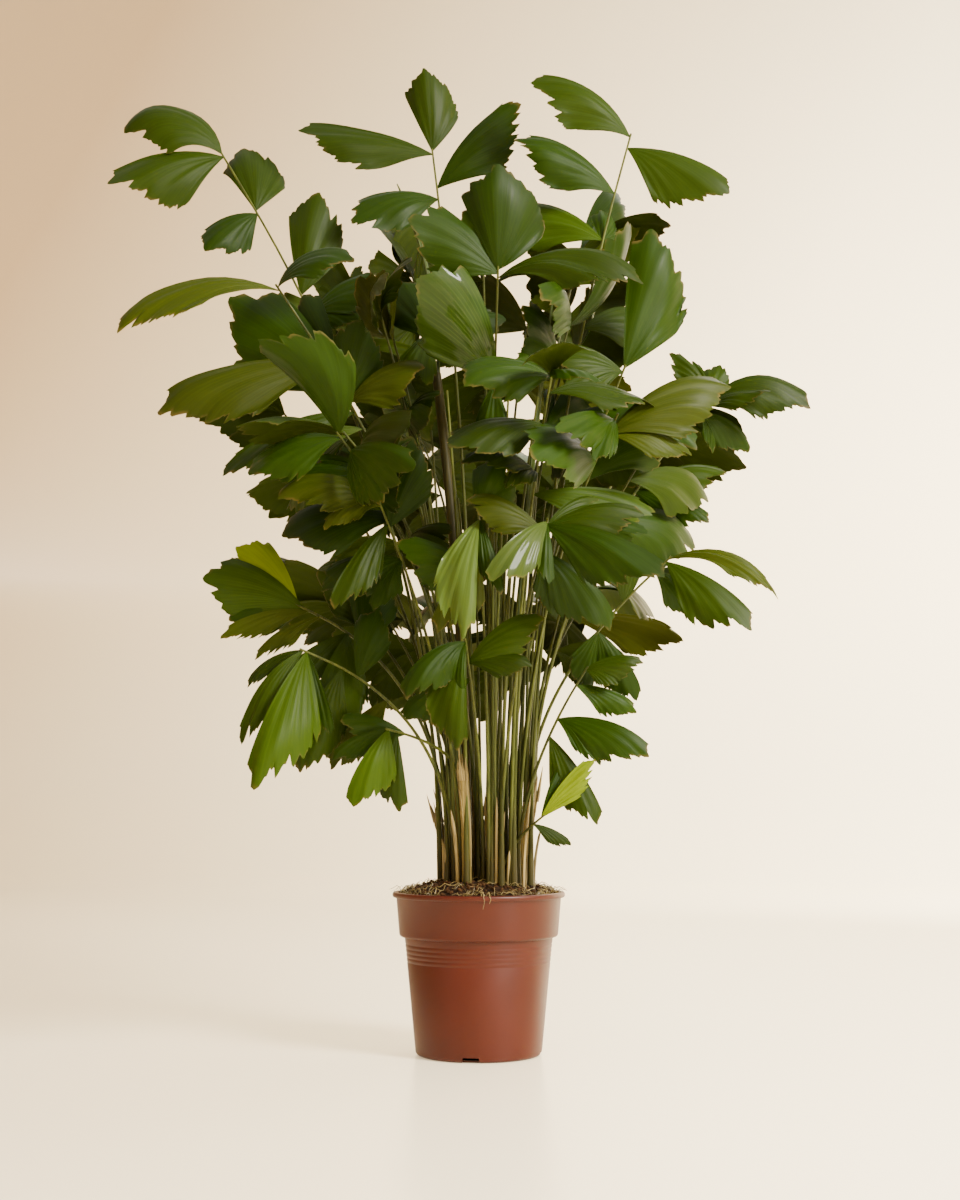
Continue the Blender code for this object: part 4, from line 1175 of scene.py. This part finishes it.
def stretched(tree, place, scale):
    made = tree.nodes.new("ShaderNodeMapping")
    feed(tree, (made.inputs["Vector"], made.inputs["Scale"]), (place, scale))
    return made.outputs["Vector"]


def split(tree, vector):
    made = tree.nodes.new("ShaderNodeSeparateXYZ")
    tree.links.new(vector, made.inputs[0])
    return made.outputs


def tone_value(tree):
    made = tree.nodes.new("ShaderNodeAttribute")
    made.attribute_name = "tone"
    return made.outputs["Fac"]


def new_group(name, inputs):
    """An empty group with these inputs, which gives a colour, a roughness and a height."""
    tree = bpy.data.node_groups.new(name, "ShaderNodeTree")
    for label, default in inputs.items():
        kind = "NodeSocketColor" if isinstance(default, tuple) else "NodeSocketFloat"
        tree.interface.new_socket(label, in_out="INPUT", socket_type=kind).default_value = default
    for label, kind in (("Colour", "NodeSocketColor"), ("Roughness", "NodeSocketFloat"),
                        ("Height", "NodeSocketFloat")):
        tree.interface.new_socket(label, in_out="OUTPUT", socket_type=kind)
    return tree, tree.nodes.new("NodeGroupInput").outputs, tree.nodes.new("NodeGroupOutput").inputs


def leaf_group():
    """Upper and under side, veins that fan from the neck, streaks between them and a browned edge."""
    tree, taken, given = new_group("leaf_surface", {
        "Upper": GREEN, "Under": GREEN, "Vein": GREEN, "Browning": 0.6})
    leaf_map = tree.nodes.new("ShaderNodeUVMap")
    leaf_map.uv_map = "leaf"
    across, along = split(tree, leaf_map.outputs["UV"])[:2]
    under = compute(tree, "GREATER_THAN", along, UNDERSIDE * 0.75)
    reach = scaled(tree, under, -UNDERSIDE, along)
    tone = tone_value(tree)
    place = tree.nodes.new("ShaderNodeCombineXYZ")
    feed(tree, place.inputs, (across, reach, tone))
    streak = cloud(tree, stretched(tree, place.outputs[0], LEAF_STREAKS))
    broad = cloud(tree, object_place(tree), 8.0, 2.0)
    wave = compute(tree, "SINE", times(tree, across, VEIN_WAVES))
    line = compute(tree, "POWER", scaled(tree, wave, 0.5, 0.5), 6.0)
    vein = times(tree, line, compute(tree, "SUBTRACT", 1.05, reach))
    side = blend(tree, under, taken["Upper"], taken["Under"])
    light = scaled(tree, broad, 0.35, scaled(tree, streak, 0.55, scaled(tree, tone, 0.55, 0.38)))
    veined = blend(tree, times(tree, vein, 0.5), blend(tree, 1.0, side, light, "MULTIPLY"), taken["Vein"])
    edge = ramp(tree, reach, 0.955, 22.0)
    patch = ramp(tree, cloud(tree, object_place(tree), 42.0), 0.44, 6.0)
    brown = times(tree, times(tree, edge, patch), taken["Browning"])
    feed(tree, given, (blend(tree, brown, veined, BROWNED),
                       scaled(tree, under, 0.18, scaled(tree, streak, 0.20, 0.37)),
                       scaled(tree, vein, 0.6, streak)))
    return tree


def streak_group():
    """Upright streaks for canes and stalks, with a darker foot."""
    tree, taken, given = new_group("upright_streaks", {
        "Light": GREEN, "Dark": GREEN, "Foot": GREEN, "Foot Top": 0.36})
    coarse = cloud(tree, stretched(tree, object_place(tree), STEM_STREAKS), detail=4.0)
    fine = cloud(tree, stretched(tree, object_place(tree), STEM_FIBRES))
    mask = ramp(tree, scaled(tree, coarse, 1.3, times(tree, fine, 0.7)), 0.66, 1.7)
    body = blend(tree, mask, taken["Dark"], taken["Light"])
    body = blend(tree, 1.0, body, scaled(tree, tone_value(tree), 0.6, 0.7), "MULTIPLY")
    below = compute(tree, "SUBTRACT", taken["Foot Top"], split(tree, object_place(tree))[2])
    foot = times(tree, times(tree, below, 9.0, clamp=True), scaled(tree, coarse, 1.0, 0.35), clamp=True)
    feed(tree, given, (blend(tree, foot, body, taken["Foot"]), scaled(tree, fine, 0.25, 0.38), mask))
    return tree


def mottle_group():
    """Uneven colour and a fine rough surface, for moulded plastic and for earth."""
    tree, taken, given = new_group("mottle", {"Light": GREEN, "Dark": GREEN, "Coarse": 12.0, "Fine": 160.0})
    coarse = cloud(tree, object_place(tree), taken["Coarse"], 4.0)
    fine = cloud(tree, object_place(tree), taken["Fine"])
    mask = ramp(tree, scaled(tree, coarse, 0.7, times(tree, fine, 0.3)), 0.32, 2.8)
    feed(tree, given, (blend(tree, mask, taken["Dark"], taken["Light"]),
                       scaled(tree, coarse, 0.25, 0.30), fine))
    return tree


def surface(name, group, values, bump=0.3, depth=0.0006, coat=0.0, rough=None, specular=0.4):
    """A material that reads its colour, gloss and relief from a group with these inputs, in their order."""
    made = bpy.data.materials.new(name)
    made.use_nodes = True
    tree = made.node_tree
    shader = tree.nodes["Principled BSDF"]
    source = tree.nodes.new("ShaderNodeGroup")
    source.node_tree = group
    feed(tree, source.inputs, [(*value, 1.0) if isinstance(value, tuple) else value for value in values])
    relief = tree.nodes.new("ShaderNodeBump")
    for socket, value in (
            (shader.inputs["Base Color"], source.outputs["Colour"]),
            (shader.inputs["Roughness"], source.outputs["Roughness"] if rough is None else rough),
            (shader.inputs["Coat Weight"], coat),
            (shader.inputs["Specular IOR Level"], specular),
            (relief.inputs["Strength"], bump),
            (relief.inputs["Distance"], depth),
            (relief.inputs["Height"], source.outputs["Height"]),
            (shader.inputs["Normal"], relief.outputs["Normal"])):
        feed(tree, (socket,), (value,))
    return made


# Dressing the plant

def dress_plant():
    streaks = streak_group()
    space = Space()
    space.add("soil", tube([Vector((0.0, 0.0, FLOOR)), Vector((0.0, 0.0, SOIL_TOP))], [LIP_RADIUS] * 2,
                           POT_SIDES, level=True))
    spots = grid_spots()
    culm_spot = min(spots, key=lambda spot: (spot - CULM_FOOT).length)
    spots.remove(culm_spot)
    space.add("culm", cane_solid(culm_spot, CULM_TOP, CULM_RADIUS, CLEARANCE))
    canes, cane_seats = grow_canes(spots, space)
    seats = {"": spots + cane_seats, "culm": seats_on(CULM_TOP, CULM_SEATS_TURN, SEATS_ON_THE_CULM)}
    fronds = list(FRONT_FRONDS) + whorl_fronds()
    paths = {}
    for frond in list(SPEARS) + fronds:
        radius = spear_radius if frond in SPEARS else stalk_radius
        paths[frond.name] = stand(frond, radius, seats[frond.carrier], space)
        space.add(frond.name, stalk_solid(paths[frond.name], radius, CLEARANCE / 2))

    chance = random.Random(LEAF_SEED)
    stalks = Heap()
    leaves = {letter: [] for letter in LEAF_LOOKS}
    for frond in fronds:
        placed = place_leaflets(frond, paths[frond.name], space)
        path = smooth_path(paths[frond.name])
        stalks.add(*fine_stalk(path), tone=chance.random())
        for place, distance, blade in placed:
            blade = blade._replace(neck=along_rib(path, distance)[0])
            letter = leaf_letter(frond, place, chance)
            leaves[letter].append((frond.name, blade))
            twin_share = TWIN_SHARE if frond.finishes else HIDDEN_TWIN_SHARE
            if chance.random() < twin_share and blade.neck.z < TWIN_TOP:
                twin_letter = letter if letter in TWIN_FINISHES else "d"
                leaves[twin_letter].append((frond.name, twin_blade(blade, chance)))
    chance_below = random.Random(STALK_SEED)
    for _ in range(INNER_STALKS):
        stalks.add(*inner_stalk(chance_below), tone=chance_below.random())
    made = stalks.piece("stalks", surface("stalk_green", streaks, (
        (0.054, 0.064, 0.010), (0.011, 0.016, 0.001), (0.022, 0.017, 0.003), 0.40), specular=0.15))
    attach(made, "root")
    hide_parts(*[frond.name for frond in fronds])
    dress_leaves(leaves, chance)

    spears = Heap()
    for spear in SPEARS:
        spears.add(*fine_spear(smooth_path(paths[spear.name])), tone=0.6)
    made = spears.piece("spears", surface("spear_green", streaks, (
        (0.034, 0.058, 0.003), (0.010, 0.020, 0.001), (0.020, 0.011, 0.003), 0.37)))
    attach(made, "root")
    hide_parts(*[spear.name for spear in SPEARS])
    return dress_stems(canes, culm_spot, streaks, chance)


def leaf_letter(frond, place, chance):
    """The finish of a leaflet: from its frond's letters, or drawn for the fronds that grow by rule."""
    drawn = chance.choices(HIDDEN_FINISHES, HIDDEN_WEIGHTS)[0]
    return frond.finishes[place] if frond.finishes else drawn


def dress_leaves(leaves, chance):
    """Leaflets of one finish joined into pieces of a fair size."""
    group = leaf_group()
    for letter, blades in leaves.items():
        word, *look, coat = LEAF_LOOKS[letter]
        finish = surface("leaf_" + word, group, look, coat=coat, specular=0.08)
        for first in range(0, len(blades), BLADES_IN_A_PIECE):
            heap = Heap()
            some = blades[first:first + BLADES_IN_A_PIECE]
            for _, blade in some:
                heap.add(*fine_blade(blade, chance), tone=chance.random())
            made = heap.piece("leaves_%s_%d" % (word, first // BLADES_IN_A_PIECE + 1), finish, 55)
            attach(made, "root")
            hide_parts(*sorted({frond for frond, _ in some}))


def dress_stems(canes, culm_spot, streaks, chance):
    """Canes, culm and the old fibres on them, in place of their plain solids. It gives the fibres' finish."""
    stems = Heap()
    fibres = Heap()
    for count, (_, solid) in enumerate(canes):
        points = solid[0]
        foot = sum(points[:CANE_SIDES], Vector()) / CANE_SIDES
        top = sum(points[-CANE_SIDES:], Vector()) / CANE_SIDES
        stems.add(*fine_cane(foot, top, CANE_RADIUS, count * 3.7, CANE_RING_STEP), tone=chance.random())
        cane_fibres(fibres, foot, top, CANE_RADIUS, chance)
        split_top(fibres, foot, top, CANE_RADIUS, chance)
    made = stems.piece("canes", surface("cane_fibre_tan", streaks, (
        (0.215, 0.160, 0.050), (0.036, 0.024, 0.005), (0.034, 0.022, 0.005), 0.29),
        bump=0.7, depth=0.0012, specular=0.1))
    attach(made, "root")
    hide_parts(*[name for name, _ in canes])
    for _ in range(STUBS):
        old_stub(fibres, chance)
    fibre_tan = surface("sheath_fibre", streaks, (
        (0.220, 0.165, 0.055), (0.034, 0.022, 0.005), (0.060, 0.040, 0.013), 0.27))
    made = fibres.piece("sheath_fibres", fibre_tan)
    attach(made, "root")
    culm = Heap()
    culm.add(*fine_cane(culm_spot, CULM_TOP, CULM_RADIUS, 31.0, CULM_RING_STEP))
    made = culm.piece("culm_stem", surface("culm_bark", streaks, (
        (0.044, 0.038, 0.008), (0.013, 0.012, 0.003), (0.022, 0.012, 0.004), 0.40),
        bump=0.5, depth=0.0010, specular=0.15))
    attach(made, "root")
    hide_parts("culm")
    return fibre_tan


# Studio

BOWL_DROP = 0.0004
BOWL_FLOORS = (1.0, 2.5, 4.2, 5.2)
BOWL_CURVE = 1.6
BOWL_TOP = 6.5
# Painted shade on the bowl: its colour and its glow are darkest at the left and higher up, lightest at the
# right. Each pair holds a base colour and a glow colour.
PAINTED_SHADE_CREAM = ((0.46, 0.33, 0.19, 1.0), (0.06, 0.03, 0.01, 1.0))
PAINTED_LIGHT_CREAM = ((0.99, 0.90, 0.66, 1.0), (1.0, 0.85, 0.57, 1.0))
# Soft lights: name, place, aim, width, power and colour
LIGHTS = (
    ("key", (2.6, -2.4, 2.5), (0.0, 0.0, 0.8), 1.4, 560, (1.0, 0.95, 0.87)),
    ("fill", (-2.6, -2.4, 1.6), (0.0, 0.0, 0.8), 2.4, 20, (1.0, 0.90, 0.80)),
    ("back", (1.2, 2.6, 3.2), (0.0, 0.0, 1.0), 2.0, 60, (1.0, 0.97, 0.92)),
    ("wall", (2.6, 2.6, 2.4), (4.6, 6.0, 1.3), 2.0, 620, (1.0, 0.94, 0.84)),
)


def studio():
    """A cream bowl with painted shade, darker at its left and above, that also glows with painted light though
    it is no lamp, with soft lights and a camera a little over the floor.
    """
    bowl = [(radius, -BOWL_DROP) for radius in (0.0, *BOWL_FLOORS)]
    bowl += [(BOWL_FLOORS[-1] + BOWL_CURVE * sine, BOWL_CURVE * (1 - cosine) - BOWL_DROP)
             for sine, cosine in list(arc(12))[1:]]
    bowl.append((bowl[-1][0], BOWL_TOP))
    floor = spun("studio_floor", bowl, 96)
    cream = bpy.data.materials.new("studio_cream")
    cream.use_nodes = True
    tree = cream.node_tree
    shader = tree.nodes["Principled BSDF"]
    shader.inputs["Roughness"].default_value = 0.27
    ways = split(tree, object_place(tree))
    # painted shade across the bowl: less bright to the left and higher up
    painted_light_share = compute(tree, "SUBTRACT", scaled(tree, ways[0], 0.22, 0.90), times(tree, ways[2], 0.10),
                     clamp=True)
    for label, painted_shade_cream, painted_light_cream in zip(("Base Color", "Emission Color"), PAINTED_SHADE_CREAM, PAINTED_LIGHT_CREAM):
        tree.links.new(blend(tree, painted_light_share, painted_shade_cream, painted_light_cream), shader.inputs[label])
    # Painted light: the whole bowl glows, lifting the shadows on the plant, pot and floor, though it is no
    # lamp.
    shader.inputs["Emission Strength"].default_value = 0.52
    finish_mesh(floor, cream, 60)

    for name, place, aim, width, power, colour in LIGHTS:
        lamp = bpy.data.lights.new(name, "AREA")
        lamp.shape = "DISK"
        lamp.size = width
        lamp.energy = power
        lamp.color = colour
        made = linked(name, lamp)
        made.location = place
        made.rotation_euler = (Vector(aim) - Vector(place)).to_track_quat("-Z", "Y").to_euler()
        made.visible_camera = False
    world = bpy.data.worlds.new("studio_air")
    world.use_nodes = True
    air = world.node_tree.nodes["Background"]
    air.inputs["Color"].default_value = (1.0, 0.925, 0.80, 1.0)
    air.inputs["Strength"].default_value = 1.45
    bpy.context.scene.world = world

    lens = bpy.data.cameras.new("camera")
    lens.sensor_fit = "VERTICAL"
    lens.sensor_height = 36.0
    lens.lens = 50.0
    camera = linked("camera", lens)
    camera.location = (0.002, -2.667, 0.395)
    camera.rotation_euler = (math.radians(90 + 6.81), 0.0, 0.0)
    bpy.context.scene.camera = camera


mottle = mottle_group()
dress_pot(surface("pot_terracotta", mottle, (
    (0.053, 0.0060, 0.0016), (0.041, 0.0044, 0.0011), 14.0, 420.0), bump=0.12, depth=0.0003, specular=0.24))
fibre_finish = dress_plant()
earth = surface("potting_earth", mottle, (
    (0.026, 0.013, 0.006), (0.004, 0.002, 0.001), 60.0, 380.0),
    bump=0.9, depth=0.0020, rough=0.95, specular=0.1)
crumb = surface("bark_crumbs", mottle, (
    (0.058, 0.028, 0.011), (0.006, 0.003, 0.0015), 45.0, 420.0),
    bump=0.8, depth=0.0010, rough=0.95, specular=0.1)
dress_soil(earth, crumb, fibre_finish)
studio()
